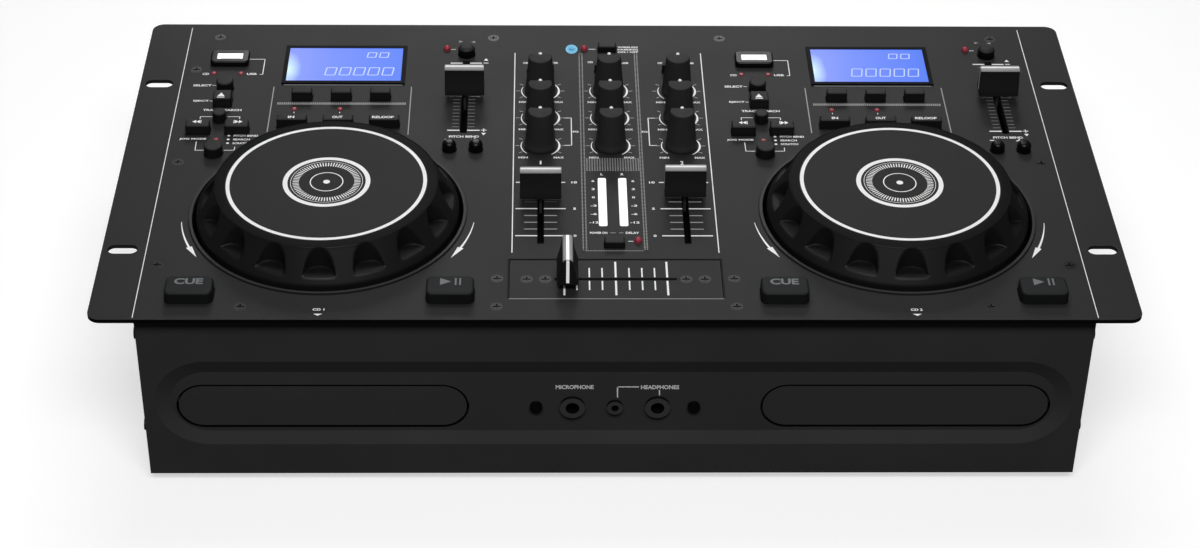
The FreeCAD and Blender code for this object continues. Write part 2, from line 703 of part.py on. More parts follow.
def pan_screw_front(x, z):
    """Round-headed screw through the floor of the front recess."""
    head = rod("pan_head", s.screw_head, x, (recess_face - s.dome_rise, recess_face), z, "y")
    shank = rod("shank", s.screw_radius, x, (recess_face, recess_face + s.screw_length), z, "y")
    screws.append(fuse("pan_screw", [head, shank]))
    front_cuts.append(rod("bore", s.screw_radius + s.screw_gap, x, (front_face, recess_back + s.seat_gap),
                          z, "y"))


def pan_screw_side(side, z):
    """Round-headed screw through the case's side into the front panel's flange."""
    y = front_back + s.flange_depth / 2
    inner = side_face - s.screw_length
    outer = side_face + s.dome_rise
    faces = (side_face, outer) if side > 0 else (-outer, -side_face)
    inside = (inner, side_face) if side > 0 else (-side_face, -inner)
    screws.append(fuse("pan_screw", [rod("pan_head", s.screw_head, faces, y, z, "x"),
                                     rod("shank", s.screw_radius, inside, y, z, "x")]))
    for cut_list in (case_flange_cuts, front_flange_cuts):
        cut_list.append(rod("bore", s.screw_radius + s.screw_gap, inside, y, z, "x"))


for side in (-1, 1):
    pan_screw_front(s.front_screw_spacing / 2 * side, door_level)
    for height in (s.side_screw_low, s.side_screw_high):
        pan_screw_side(side, s.foot_height + height)


# ---------------------------------------------------------------- keys
def outline_solid(label, cap, grow, z):
    """Upright solid of a cap's outline, grown all round."""
    shape, x, y, width, depth = cap
    if shape == "round":
        return rod(label, width + grow, x, y, z)
    return block(label, around(x, width + grow * 2), around(y, depth + grow * 2), z)


def key(name, caps, rise, rounding, bars=(), corner=None):
    """One moulded key: caps over the panel on one flange under it, with a stem over each switch."""
    flange = (panel_under - s.key_flange, panel_under)
    stem_low = panel_under - s.key_flange - s.key_stem_long
    switch_top = stem_low - s.key_travel - s.switch_gap
    pieces = []
    for cap in caps:
        shape, x, y, width, depth = cap
        raw = outline_solid("cap", cap, ZERO, (panel_under, panel_top + rise))
        top_edge = at_top(panel_top + rise)
        hole = outline_solid("key_hole", cap, s.key_gap, (panel_under, panel_top))
        if corner:
            pieces.append(soften("cap", soften("cap", raw, corner, upright), rounding, top_edge))
            hole = soften("key_hole", hole, corner + s.key_gap, upright)
        else:
            pieces.append(soften("cap", raw, rounding, lambda box: top_edge(box) or upright(box)))
        pieces.append(outline_solid("flange", cap, s.key_gap + s.key_lip, flange))
        pieces.append(block("stem", (x - s.key_stem, x + s.key_stem), (y - s.key_stem, y + s.key_stem),
                            (stem_low, panel_under)))
        boards.append(block("switch", (x - s.switch_half, x + s.switch_half),
                            (y - s.switch_half, y + s.switch_half), (board_top, switch_top)))
        panel_cuts.append(hole)
    for x, y in bars:
        pieces.append(block("bar", (x[0] - s.key_stem, x[1] + s.key_stem),
                            (y[0] - s.key_stem, y[1] + s.key_stem), flange))
    keep(name, [fuse(name, pieces)])


pitch_slot = s.pitch_travel + s.lever_wide + s.pitch_slot_end * 2
pitch_key_y = (s.pitch_centre_y + pitch_slot / 2 + s.pitch_key_gap + s.key_lip + s.key_gap
               + s.pitch_key_radius)
for side, middle in decks.items():
    column = middle + s.column_dx
    for part, dx in (("cue_key_", s.cue_dx), ("play_key_", s.play_dx)):
        key(part + side, [("block", middle + dx, s.cue_y, s.cue_width, s.cue_depth)],
            s.cue_rise, s.cue_round, corner=s.cue_corner)
    key("select_key_" + side, [("round", column, s.select_y, s.select_radius, None)], s.round_rise, s.key_round)
    key("eject_key_" + side, [("block", column, s.eject_y, s.eject_width, s.eject_depth)],
        s.round_rise, s.key_round)
    key("jog_mode_key_" + side, [("round", column, s.mode_y, s.mode_radius, None)], s.round_rise, s.key_round)
    searches = [("block", column + s.search_reach * way, s.search_y, s.search_width, s.search_depth)
                for way in (-1, 1)]
    key("search_keys_" + side, [("round", column, s.track_y, s.track_radius, None)] + searches,
        s.search_rise, s.key_round,
        [((column - s.search_reach, column + s.search_reach), (s.search_y, s.search_y)),
         ((column, column), (s.search_y, s.track_y))])
    for part, y, pitch, width in (
            ("display_keys_", s.display_key_y, s.display_key_pitch, s.display_key_width),
            ("loop_keys_", s.loop_key_y, s.loop_key_pitch, s.loop_key_width)):
        caps = [("block", middle + pitch * place, y, width, s.small_key_depth) for place in (-1, 0, 1)]
        key(part + side, caps, s.search_rise, s.key_round, [((middle - pitch, middle + pitch), (y, y))])
    pitch_x = middle + s.pitch_dx
    key("pitch_key_" + side, [("round", pitch_x, pitch_key_y, s.pitch_key_radius, None)],
        s.dome_key_rise, s.dome_round)
    reach = s.bend_pitch / 2
    bends = [("round", pitch_x + reach * way, s.bend_y, s.bend_radius, None) for way in (-1, 1)]
    key("bend_keys_" + side, bends, s.dome_key_rise, s.dome_round,
        [((pitch_x - reach, pitch_x + reach), (s.bend_y, s.bend_y))])
for name, y in (("wireless_key", s.wireless_key_y), ("meter_key", s.meter_key_y)):
    key(name, [("block", ZERO, y, s.mixer_key_width, s.small_key_depth)], s.mixer_key_rise, s.key_round)


# ---------------------------------------------------------------- knobs
def knob(name, x, y):
    """Pressed-on knob over its shaft; the shaft turns in a potentiometer body on the board."""
    bore = s.shaft_radius + s.press_gap
    foot = panel_top + s.knob_lift
    cap = turned(name + "_cap", [
        (ZERO, panel_top + s.knob_rise), (s.knob_top, panel_top + s.knob_rise),
        (s.knob_body, foot + s.knob_skirt_tall), (s.knob_skirt, foot + s.knob_edge), (s.knob_skirt, foot),
        (bore, foot), (bore, foot + s.knob_bore), (ZERO, foot + s.knob_bore)])
    put(cap, x, y, ZERO)
    facet = new_body(name + "_facet")
    sketch = sketch_of(facet, "YZ_Plane", [
        (s.knob_flat, panel_top + s.knob_rise), (s.knob_skirt * 2, panel_top + s.knob_rise),
        (s.knob_skirt * 2, foot + s.knob_edge), (s.knob_flat_low, foot + s.knob_edge)])
    pad(facet, sketch, s.knob_skirt * 3).Midplane = True
    put(facet, x, y, ZERO)
    cap = cut("knob_cap", cap, [facet])
    shaft = rod("shaft", s.shaft_radius, x, y, (board_top + s.pot_floor, foot + s.knob_bore))
    keep(name, [cap, shaft])
    pot = block("pot", (x - s.pot_half, x + s.pot_half), (y - s.pot_half, y + s.pot_half),
                (board_top, board_top + s.pot_tall))
    socket = rod("socket", s.shaft_radius + s.running_gap, x, y,
                 (board_top + s.pot_floor, board_top + s.pot_tall))
    bodies_below.append(cut("pot", pot, [socket]))
    panel_cuts.append(rod("shaft_hole", s.shaft_radius + s.shaft_hole_gap, x, y, (panel_under, panel_top)))


columns = {"left": -s.knob_dx, "middle": ZERO, "right": s.knob_dx}
knob_rows = {"left": ("gain", "treble", "bass"), "middle": ("master", "cue_mix", "headphone"),
             "right": ("gain", "treble", "bass")}
for column, x in columns.items():
    for step, part in enumerate(knob_rows[column]):
        name = part + "_knob" if column == "middle" else part + "_knob_" + column
        knob(name, x, s.knob_y - s.knob_pitch * step)


# ---------------------------------------------------------------- faders and slide switches
def fader(name, x, y, along, travel, slot_end, slot_wide, frame_end, rest, ceiling, cuts, frame_cuts=()):
    """Cap on a lever that runs in a frame under the sheet; along names the axis of its stroke."""
    slot = travel + s.lever_wide + slot_end * 2
    cap_body = new_body(name + "_cap")
    foot_half, head_half = s.cap_foot / 2, s.cap_head / 2
    low, step_high, high = s.cap_low, s.cap_low + s.cap_step, s.cap_high
    flank = [(foot_half, low), (foot_half, step_high)]
    for share in (0.33, 0.66):
        flank.append((head_half + (foot_half - head_half) * (1 - share) ** 2,
                      step_high + (high - step_high) * share))
    flank.append((head_half, high))
    mirrored = [(-a, b) for a, b in reversed(flank)]
    cap_sketch = sketch_of(cap_body, "XZ_Plane", flank + mirrored)
    pad(cap_body, cap_sketch, s.cap_length).Midplane = True
    slot_sketch = sketch_of(cap_body, "XY_Plane", rectangle(
        around(ZERO, s.lever_wide + s.press_gap * 2), around(ZERO, s.lever_thick + s.press_gap * 2)), low)
    pocket_up(cap_body, slot_sketch, s.cap_socket)
    cap_body.Placement = Placement(Vector(), Rotation(Vector(0, 0, 1), 0 if along == "x" else 90))
    cap_x = x + rest if along == "x" else x
    cap_y = y + rest if along == "y" else y
    put(cap_body, cap_x, cap_y, panel_top)
    lever_z = (ceiling - s.lever_deep, panel_top + s.cap_low + s.cap_socket)
    frame_z = (ceiling - s.frame_tall, ceiling)
    hollow_z = (ceiling - s.frame_tall + s.frame_floor, ceiling)
    hollow_long = travel + s.lever_wide + s.lever_gap * 2
    hollow_wide = s.lever_thick + s.lever_gap * 2
    frame_long = slot + frame_end * 2
    spans = {"lever": (s.lever_wide, s.lever_thick), "frame": (frame_long, s.frame_wide),
             "hollow": (hollow_long, hollow_wide), "slot": (slot, slot_wide)}
    flat = {}
    for part, (long_side, short_side) in spans.items():
        mid_x, mid_y = (cap_x, cap_y) if part == "lever" else (x, y)
        sides = (long_side, short_side) if along == "x" else (short_side, long_side)
        flat[part] = (around(mid_x, sides[0]), around(mid_y, sides[1]))
    keep(name, [cap_body, block("lever", *flat["lever"], lever_z)])
    bodies_below.append(cut("fader_frame", block("frame", *flat["frame"], frame_z),
                            [block("hollow", *flat["hollow"], hollow_z), *frame_cuts]))
    for cut_list in cuts:
        cut_list.append(block("slot", *flat["slot"], (ceiling, panel_top)))


for side, middle in decks.items():
    fader("pitch_fader_" + side, middle + s.pitch_dx, s.pitch_centre_y, "y", s.pitch_travel,
          s.pitch_slot_end, s.pitch_slot_wide, ZERO, ZERO, panel_under, [panel_cuts])
for side, x, rest in (("left", -s.channel_dx, s.channel_rest_left), ("right", s.channel_dx, s.channel_rest_right)):
    fader("channel_fader_" + side, x, s.channel_centre_y, "y", s.channel_travel, s.channel_slot_end,
          s.channel_slot_wide, s.channel_frame_end, rest, panel_under, [panel_cuts])
fader("crossfader", ZERO, s.cross_y, "x", s.channel_travel, s.cross_slot_end, s.cross_slot_wide,
      s.cross_frame_end, s.channel_travel / -2, panel_under - s.bridge_sheet,
      [cross_plate_cuts, bridge_cuts], cross_frame_cuts)


def slide_switch(name, x, y, way):
    """Two-way slide switch; its lever rests at the left end of its stroke, or with way 1 at the right."""
    rest = x + s.slide_travel / 2 * way
    slot_long = s.slide_travel + s.slide_wide + s.slide_gap * 2
    slot = (around(x, slot_long), around(y, s.slide_deep + s.slide_gap * 2))
    body_z = (panel_under - s.slide_body_tall, panel_under)
    lever_low = panel_under - s.slide_body_tall / 2
    keep(name, [block(name, around(rest, s.slide_wide), around(y, s.slide_deep),
                      (lever_low, panel_top + s.slide_rise))])
    body = block("slide_body", around(x, s.slide_body), around(y, s.slide_body_deep), body_z)
    hollow = block("slide_slot", *slot, (lever_low - s.slide_gap, panel_under))
    bodies_below.append(cut("slide_body", body, [hollow]))
    panel_cuts.append(block("slide_slot", *slot, (panel_under, panel_top)))


for column, x in columns.items():
    slide_switch("source_switch_" + column, x, s.slide_y, 1 if column == "left" else -1)

# bridge under the cross fader plate, and the plate
bridge = block("bridge", around(ZERO, s.bridge_width), around(s.cross_y, s.bridge_depth),
               (panel_under - s.bridge_sheet, panel_under))
bridge = cut("bridge", bridge, bridge_cuts)
plate = block("cross_plate", around(ZERO, s.cross_plate_width), around(s.cross_y, s.cross_plate_depth),
              (panel_under, plate_top))
keep("crossfader_plate", [cut("crossfader_plate", plate, cross_plate_cuts), bridge])
gap = s.cross_plate_gap * 2
panel_cuts.append(block("plate_opening", around(ZERO, s.cross_plate_width + gap),
                        around(s.cross_y, s.cross_plate_depth + gap), (panel_under, panel_top)))


# ---------------------------------------------------------------- jog wheels
cup_floor_low = panel_under - s.cup_deep
cup_floor_top = cup_floor_low + s.cup_wall
bush_low = cup_floor_low - s.bush_length
jog_crown = panel_top + s.jog_rise
web_top = jog_crown - s.jog_plate_thick


def jog_wheel(name, x):
    """Rim with finger hollows, top plate, and shaft with its retaining collar."""
    bore = s.jog_shaft + s.press_gap
    foot = panel_top - s.jog_skirt
    hub_low = cup_floor_top + s.seat_gap
    plate_seat = s.jog_plate + s.press_gap
    web_low = web_top - s.jog_web
    rim = turned(name + "_rim", [
        (s.jog_inner, foot), (s.jog_base, foot), (s.jog_base, panel_top + s.jog_ledge),
        (s.jog_top, jog_crown - s.jog_bevel), (s.jog_top - s.jog_bevel, jog_crown), (plate_seat, jog_crown),
        (plate_seat, web_top), (bore, web_top), (bore, hub_low), (s.jog_hub, hub_low), (s.jog_hub, web_low),
        (s.jog_inner, web_low)])
    sketch = rim.newObject("Sketcher::SketchObject", unique("grip_outline"))
    plane = [feature for feature in rim.Origin.OriginFeatures if feature.Role == "XY_Plane"]
    sketch.AttachmentSupport = [(plane[0], "")]
    sketch.MapMode = "FlatFace"
    sketch.setExpression("AttachmentOffset.Base.z", (panel_top + s.grip_floor).text)
    middle = Vector(s.grip_centre.number, 0, 0)
    sketch.addGeometry(Part.Circle(middle, Vector(0, 0, 1), s.grip_radius.number), False)
    sketch.addConstraint([
        Sketcher.Constraint("Radius", 0, s.grip_radius.number),
        Sketcher.Constraint("DistanceX", -1, 1, 0, 3, s.grip_centre.number),
        Sketcher.Constraint("PointOnObject", 0, 3, -1)])
    sketch.setExpression("Constraints[0]", s.grip_radius.text)
    sketch.setExpression("Constraints[1]", s.grip_centre.text)
    grip = pocket_up(rim, sketch, s.jog_rise)
    ring = rim.newObject("PartDesign::PolarPattern", unique("grips"))
    ring.Originals = [grip]
    axis = [feature for feature in rim.Origin.OriginFeatures if feature.Role == "Z_Axis"]
    ring.Axis = (axis[0], [""])
    ring.Angle = 360
    ring.setExpression("Occurrences", s.grip_count.text)
    rim.Tip = ring
    put(rim, x, s.jog_y, ZERO)
    plate = rod("jog_plate", s.jog_plate, x, s.jog_y, (web_top, jog_crown))
    collar_top = bush_low - s.seat_gap
    shaft = fuse("jog_shaft", [
        rod("shaft", s.jog_shaft, x, s.jog_y, (collar_top - s.cup_wall, web_top)),
        rod("collar", s.bush_radius, x, s.jog_y, (collar_top - s.cup_wall, collar_top))])
    keep(name, [rim, plate, shaft])


housings = []
for side, x in decks.items():
    jog_wheel("jog_wheel_" + side, x)
    bore = s.jog_shaft + s.running_gap
    outer = s.jog_hole + s.cup_wall
    rim = s.jog_hole + s.cup_flange
    housing = turned("jog_housing", [
        (bore, bush_low), (s.bush_radius, bush_low), (s.bush_radius, cup_floor_low), (outer, cup_floor_low),
        (outer, panel_under - s.cup_wall), (rim, panel_under - s.cup_wall), (rim, panel_under),
        (s.jog_hole, panel_under), (s.jog_hole, cup_floor_top), (bore, cup_floor_top)])
    housings.append(put(housing, x, s.jog_y, ZERO))
    panel_cuts.append(rod("jog_opening", s.jog_hole, x, s.jog_y, (panel_under, panel_top + s.jog_lip_rise)))
    board_cuts.append(rod("cup_clearance", rim + s.cup_gap, x, s.jog_y, (board_under, board_top)))
keep("jog_bearings", housings)


# ---------------------------------------------------------------- disc trays and drives
def stadium(label, x, width, tall, y, z):
    """Solid with round ends, seen from the front; y is its span, z its middle height."""
    half = tall / 2
    left = x - width / 2 + half
    right = x + width / 2 - half
    return fuse(label, [block(label, (left, right), y, (z - half, z + half)),
                        rod(label, half, left, y, z, "y"), rod(label, half, right, y, z, "y")])


door_front = recess_face + s.door_inset
door_back = door_front + s.door_thickness
tray_top = s.foot_height + s.tray_top
tray_low = tray_top - s.tray_thick
spindle_y = door_back + s.tray_lip + s.disc_radius
drive_front = recess_back + s.sheet_gap
drive_low = s.foot_height + s.drive_low
drive_high = s.foot_height + s.drive_high
drive_back = drive_front + s.drive_length


def disc_tray(side, x):
    plate = block("tray", around(x, s.tray_width), (door_back, door_back + s.tray_length), (tray_low, tray_top))
    recess_low = tray_top - s.disc_recess
    small_low = recess_low - s.small_disc_recess
    tools = [
        rod("disc_recess", s.disc_radius, x, spindle_y, (recess_low, tray_top)),
        rod("small_disc_recess", s.small_disc_radius, x, spindle_y, (small_low, tray_top)),
        rod("spindle_slot", s.tray_slot, x, spindle_y, (tray_low, tray_top)),
        block("spindle_slot", (x - s.tray_slot, x + s.tray_slot), (spindle_y, spindle_y + s.tray_slot_long),
              (tray_low, tray_top))]
    keep("disc_tray_" + side, [cut("tray", plate, tools)])
    gap = s.door_gap * 2
    keep("tray_door_" + side, [stadium("door", x, s.door_width - gap, s.door_tall - gap,
                                       (door_front, door_back), door_level)])
    front_cuts.append(stadium("door_opening", x, s.door_width, s.door_tall,
                              (front_face, recess_back), door_level))


def disc_drive(x):
    """Housing with guide rails, spindle motor with turntable, and pickup on its rods."""
    half = s.drive_width / 2
    inner = half - s.drive_sheet
    shell = cut("drive_shell", block("drive", (x - half, x + half), (drive_front, drive_back),
                                     (drive_low, drive_high)),
                [block("drive_inside", (x - inner, x + inner), (drive_front, drive_back - s.drive_sheet),
                       (drive_low + s.drive_sheet, drive_high - s.drive_sheet))])
    rails = []
    tray_half = s.tray_width / 2
    rail_y = (door_back + s.seat_gap, drive_back - s.drive_sheet)
    over = (tray_top + s.rail_gap, tray_top + s.rail_gap + s.rail_height)
    under = (tray_low - s.rail_gap - s.rail_height, tray_low - s.rail_gap)
    over_reach = tray_half - (tray_half - s.disc_radius) * 0.7
    under_reach = tray_half - s.rail_reach
    for reach, height in ((over_reach, over), (under_reach, under)):
        rails.append(block("rail", (x - inner, x - reach), rail_y, height))
        rails.append(block("rail", (x + reach, x + inner), rail_y, height))
    motor_low = drive_low + s.drive_sheet
    table_low = tray_low - s.spindle_hub / 2
    motor = fuse("spindle_motor", [
        rod("motor", s.spindle_motor, x, spindle_y, (motor_low, table_low)),
        rod("turntable", s.spindle_radius, x, spindle_y, (table_low, table_low + s.drive_sheet * 2)),
        rod("hub", s.spindle_hub, x, spindle_y, (table_low, tray_low - s.rail_gap))])
    pickup_y = spindle_y + s.pickup_offset
    pickup_top = tray_low - s.drive_sheet
    pickup_z = (pickup_top - s.pickup_height, pickup_top)
    rod_z = pickup_top - s.pickup_height / 2
    rod_reach = s.pickup_width / 2 - s.rod_radius * 2
    rod_y = (spindle_y + s.spindle_radius + s.rod_radius, pickup_y + s.pickup_length)
    holes, rods = [], []
    for way in (-1, 1):
        rods.append(rod("guide_rod", s.rod_radius, x + rod_reach * way, rod_y, rod_z, "y"))
        holes.append(rod("rod_hole", s.rod_radius + s.running_gap, x + rod_reach * way, rod_y, rod_z, "y"))
    pickup_block = block("pickup", around(x, s.pickup_width), around(pickup_y, s.pickup_length), pickup_z)
    pickup = cut("pickup", pickup_block, holes)
    rest = block("rod_rest", around(x, s.pickup_width), (rod_y[1], rod_y[1] + s.rod_radius * 2),
                 (motor_low, rod_z + s.rod_radius))
    return [fuse("drive_housing", [shell] + rails), motor, pickup, fuse("rod_rest", rods + [rest])]


drives = []
for side, x in decks.items():
    disc_tray(side, x)
    drives.extend(disc_drive(x))
keep("disc_drives", drives)


# ---------------------------------------------------------------- displays, lights, meter, USB
def display(x):
    """Framed display: its frame stands on the panel, its module passes through the panel."""
    frame_top = panel_top + s.frame_rise
    body_width = s.window_width + s.display_wall * 2
    body_depth = s.window_depth + s.display_wall * 2
    frame = fuse("display_frame", [
        block("frame", around(x, s.display_width), around(s.display_y, s.display_depth),
              (panel_top, frame_top)),
        block("module", around(x, body_width), around(s.display_y, body_depth),
              (panel_top - s.display_body, panel_top))])
    window = (around(x, s.window_width), around(s.display_y, s.window_depth))
    glass_low = panel_top - s.display_glass
    display_pieces.append(cut("display_module", frame, [block("window", *window, (glass_low, frame_top))]))
    inset = s.press_gap * 2
    display_pieces.append(block("display_glass", around(x, s.window_width - inset),
                                around(s.display_y, s.window_depth - inset),
                                (glass_low, frame_top - s.window_sink)))
    gap = s.socket_gap * 2
    panel_cuts.append(block("display_opening", around(x, body_width + gap),
                            around(s.display_y, body_depth + gap), (panel_under, panel_top)))


def light(x, y, domed=False):
    """Round indicator light that stands on the board and shows through the panel."""
    radius, rise, rounding = s.light_radius, s.light_rise, s.light_rise
    if domed:
        radius, rise, rounding = s.dome_radius, s.dome_light_rise, s.dome_radius * 0.9
    raw = rod("light", radius, x, y, (board_top, panel_top + rise))
    display_pieces.append(soften("light", raw, rounding, at_top(panel_top + rise)))
    panel_cuts.append(rod("light_hole", radius + s.light_gap, x, y, (panel_under, panel_top)))


def usb_port(x):
    """Collar on the panel, metal shell through it, and the contact tongue on its insulator."""
    collar_top = panel_top + s.usb_collar_rise
    shell_top = collar_top - s.usb_lip
    shell_span = (around(x, s.usb_shell_width), around(s.usb_y, s.usb_shell_depth))
    inner_width = s.usb_shell_width - s.usb_sheet * 2
    inner_depth = s.usb_shell_depth - s.usb_sheet * 2
    inner_span = (around(x, inner_width), around(s.usb_y, inner_depth))
    gap = s.usb_gap * 2
    hole_span = (around(x, s.usb_shell_width + gap), around(s.usb_y, s.usb_shell_depth + gap))
    raw = block("collar", around(x, s.usb_collar_width), around(s.usb_y, s.usb_collar_depth),
                (panel_top, collar_top))
    top_edge = at_top(collar_top)
    rounded = soften("collar", soften("collar", raw, s.usb_corner, upright), s.key_round, top_edge)
    collar = cut("usb_collar", rounded, [block("mouth", *hole_span, (panel_top, collar_top))])
    shell = cut("usb_shell", block("shell", *shell_span, (board_top, shell_top)),
                [block("inside", *inner_span, (board_top, shell_top))])
    base_top = board_top + s.usb_base
    fit = s.press_gap * 2
    base = block("insulator", around(x, inner_width - fit), around(s.usb_y, inner_depth - fit),
                 (board_top, base_top))
    tongue_y = s.usb_y + s.usb_tongue / 2
    tongue = block("tongue", around(x, inner_width - s.usb_tongue), around(tongue_y, s.usb_tongue),
                   (base_top, shell_top - s.usb_mouth))
    panel_cuts.append(block("usb_hole", *hole_span, (panel_under, panel_top)))
    return [collar, shell, fuse("usb_tongue", [base, tongue])]


deck_lights = [(s.usb_light_left, s.usb_light_y), (s.usb_light_right, s.usb_light_y),
               (s.column_dx, s.mode_light_y), (s.loop_light_left, s.loop_light_y),
               (s.loop_light_right, s.loop_light_y)]
usb_ports = []
for side, x in decks.items():
    display(x)
    usb_ports.extend(usb_port(x + s.column_dx))
    for dx, y in deck_lights:
        light(x + dx, y)
    light(x + s.pitch_light_dx, s.pitch_light_y, domed=True)
light(s.wireless_light_x, s.wireless_light_y)
light(s.power_light_x, s.wireless_light_y, domed=True)
light(s.meter_light_x, s.meter_light_y, domed=True)
for way in (-1, 1):
    bar_x = around(s.meter_dx * way, s.meter_wide)
    gap_x = around(s.meter_dx * way, s.meter_wide + s.light_gap * 2)
    bar = block("meter_bar", bar_x, (s.meter_front, s.meter_rear),
                (panel_top - s.meter_deep, panel_top + s.light_gap))
    display_pieces.append(soften("meter_bar", bar, s.meter_corner, upright))
    slot = block("meter_slot", gap_x, (s.meter_front - s.light_gap, s.meter_rear + s.light_gap),
                 (panel_under, panel_top))
    panel_cuts.append(soften("meter_slot", slot, s.meter_corner + s.light_gap, upright))
display_pieces.append(block("meter_base", around(ZERO, s.meter_dx * 2 + s.meter_wide),
                            (s.meter_front, s.meter_rear), (board_top, panel_top - s.meter_deep)))
keep("displays_and_lights", display_pieces)
keep("usb_ports", usb_ports)


# ---------------------------------------------------------------- circuit boards
def stud(x, y):
    panel_studs.append(rod("stud", s.stud_radius, x, y, (board_top, panel_under)))


board_z = (board_under, board_top)
for side, x in decks.items():
    deck_board = block("deck_board", (x + s.deck_board_left, x + s.deck_board_right),
                       (s.board_front, s.board_rear), board_z)
    boards.append(cut("deck_board", deck_board, [board_cuts[0 if side == "left" else 1]]))
    for dx, y in ((s.deck_stud_left, s.deck_stud_rear), (s.deck_stud_right, s.deck_stud_rear),
                  (s.deck_stud_outer, s.deck_stud_middle), (s.deck_stud_inner, s.deck_stud_front)):
        stud(x + dx, y)
    for dx in (s.cue_dx, s.play_dx):
        key_x = x + dx
        boards.append(block("key_board", (key_x - s.corner_board_half, key_x + s.corner_board_half),
                            (s.cue_y - s.corner_board_front, s.cue_y + s.corner_board_rear), board_z))
        for way in (-1, 1):
            stud(key_x + s.corner_stud_dx * way, s.cue_y + s.corner_stud_dy)
boards.append(block("mixer_board", (-s.mixer_board_half, s.mixer_board_half),
                    (s.mixer_board_front, s.board_rear), board_z))
for way in (-1, 1):
    for y in (s.deck_stud_rear, s.mixer_stud_middle, s.mixer_stud_front):
        stud(s.mixer_stud_dx * way, y)

floor_studs = []
low_board_z = (floor_top + s.board_low, floor_top + s.board_low + s.board_thick)


def low_board(label, x, y, width, depth):
    """Board on four studs that stand on the case's floor."""
    boards.append(block(label, around(x, width), around(y, depth), low_board_z))
    for way_x in (-1, 1):
        for way_y in (-1, 1):
            floor_studs.append(rod("stud", s.stud_radius, x + (width / 2 - s.stud_radius * 2) * way_x,
                                   y + (depth / 2 - s.stud_radius * 2) * way_y, (floor_top, low_board_z[0])))


low_board("main_board", ZERO, s.main_y, s.main_width, s.main_depth)
low_board("power_board", s.power_x, s.power_y, s.power_width, s.power_depth)
boards.append(block("transformer", around(s.core_x, s.core_width), around(s.power_y, s.core_depth),
                    (low_board_z[1], low_board_z[1] + s.core_height)))
for place in range(3):
    boards.append(rod("capacitor", s.capacitor_radius, s.power_x - s.capacitor_pitch * place, s.power_y,
                      (low_board_z[1], low_board_z[1] + s.capacitor_tall)))
keep("circuit_boards", boards + bodies_below)
for side, x in decks.items():
    for way in (-1, 1):
        for y in (drive_front + s.drive_post_in, drive_back - s.drive_post_in):
            floor_studs.append(rod("post", s.drive_post, x + (s.drive_width / 2 - s.drive_post_in) * way, y,
                                   (floor_top, drive_low)))


# ---------------------------------------------------------------- sockets
def front_jack(x, bore, neck, nut, body, length):
    """Jack socket behind the recess floor, its neck through the sheet, its round nut outside."""
    nut_front = recess_face - s.jack_nut_proud
    half = body / 2
    socket = fuse("jack", [
        block("jack_body", (x - half, x + half), (recess_back, recess_back + length),
              (door_level - half, door_level + half)),
        rod("jack_neck", neck, x, (nut_front, recess_back), door_level, "y")])
    depth = length - s.jack_end
    hollow = rod("jack_bore", bore, x, (nut_front, recess_back + depth), door_level, "y")
    ring = cut("jack_nut", rod("nut", nut, x, (nut_front, recess_face), door_level, "y"),
               [rod("thread", neck + s.press_gap, x, (nut_front, recess_face), door_level, "y")])
    front_cuts.append(rod("jack_hole", neck + s.screw_gap, x, (front_face, recess_back), door_level, "y"))
    return [cut("jack", socket, [hollow]), ring]


jacks = []
for way in (-1, 1):
    jacks.extend(front_jack(s.jack_spacing / 2 * way, s.jack_radius, s.jack_neck, s.jack_nut,
                            s.jack_body, s.jack_length))
jacks.extend(front_jack(ZERO, s.mini_radius, s.mini_neck, s.mini_nut, s.mini_body, s.mini_length))
keep("front_jacks", jacks)

wall_inner = rear_face - s.case_sheet


def phono(x, z):
    base = block("phono_base", around(x, s.phono_base * 2), (wall_inner - s.phono_deep, wall_inner),
                 around(z, s.phono_base * 2))
    boss = rod("phono_boss", s.phono_boss, x, (wall_inner, rear_face), z, "y")
    barrel = rod("phono_barrel", s.phono_radius, x, (rear_face, rear_face + s.phono_proud), z, "y")
    contact = rod("phono_bore", s.phono_bore, x, (wall_inner, rear_face + s.phono_proud), z, "y")
    rear_cuts.append(rod("phono_hole", s.phono_boss + s.socket_gap, x, (wall_inner, rear_face), z, "y"))
    return cut("phono", fuse("phono", [base, boss, barrel]), [contact])


def framed(label, x, z, width, tall, deep, pocket, pocket_tall, pocket_deep):
    """Snap-in frame in the rear wall: a flange outside, a body inside, and a pocket that opens rearward."""
    face = rear_face + s.inlet_proud
    rim = s.inlet_flange * 2
    shell = fuse(label, [
        block(label, around(x, width), (rear_face - deep, rear_face), around(z, tall)),
        block(label, around(x, width + rim), (rear_face, face), around(z, tall + rim))])
    rear_cuts.append(block("opening", around(x, width + s.socket_gap * 2), (wall_inner, rear_face),
                           around(z, tall + s.socket_gap * 2)))
    return cut(label, shell, [block("pocket", around(x, pocket), (face - pocket_deep, face),
                                    around(z, pocket_tall))])


rear_level = s.foot_height + s.rear_centre
rear_pieces = [phono(s.phono_x + s.phono_spacing * pair, s.foot_height + s.phono_height - s.phono_pitch * row)
               for pair in range(int(s.phono_pairs.number)) for row in (0, 1)]
inlet_pieces = [framed("inlet", s.inlet_x, rear_level, s.inlet_width, s.inlet_tall,
                          s.inlet_deep + s.frame_floor, s.inlet_mouth, s.inlet_mouth_tall, s.inlet_deep)]
pin_root = rear_face + s.inlet_proud - s.inlet_deep
for place, lift in ((-1, -1), (0, 1), (1, -1)):
    inlet_pieces.append(block("inlet_pin", around(s.inlet_x + s.pin_pitch * place, s.pin_thick),
                             (pin_root, pin_root + s.inlet_pin),
                             around(rear_level + s.pin_offset * lift, s.pin_wide)))
pocket_width = s.rocker_width + s.rocker_gap * 2
pocket_tall = s.rocker_tall + s.rocker_gap * 2
walls = s.rocker_wall * 2
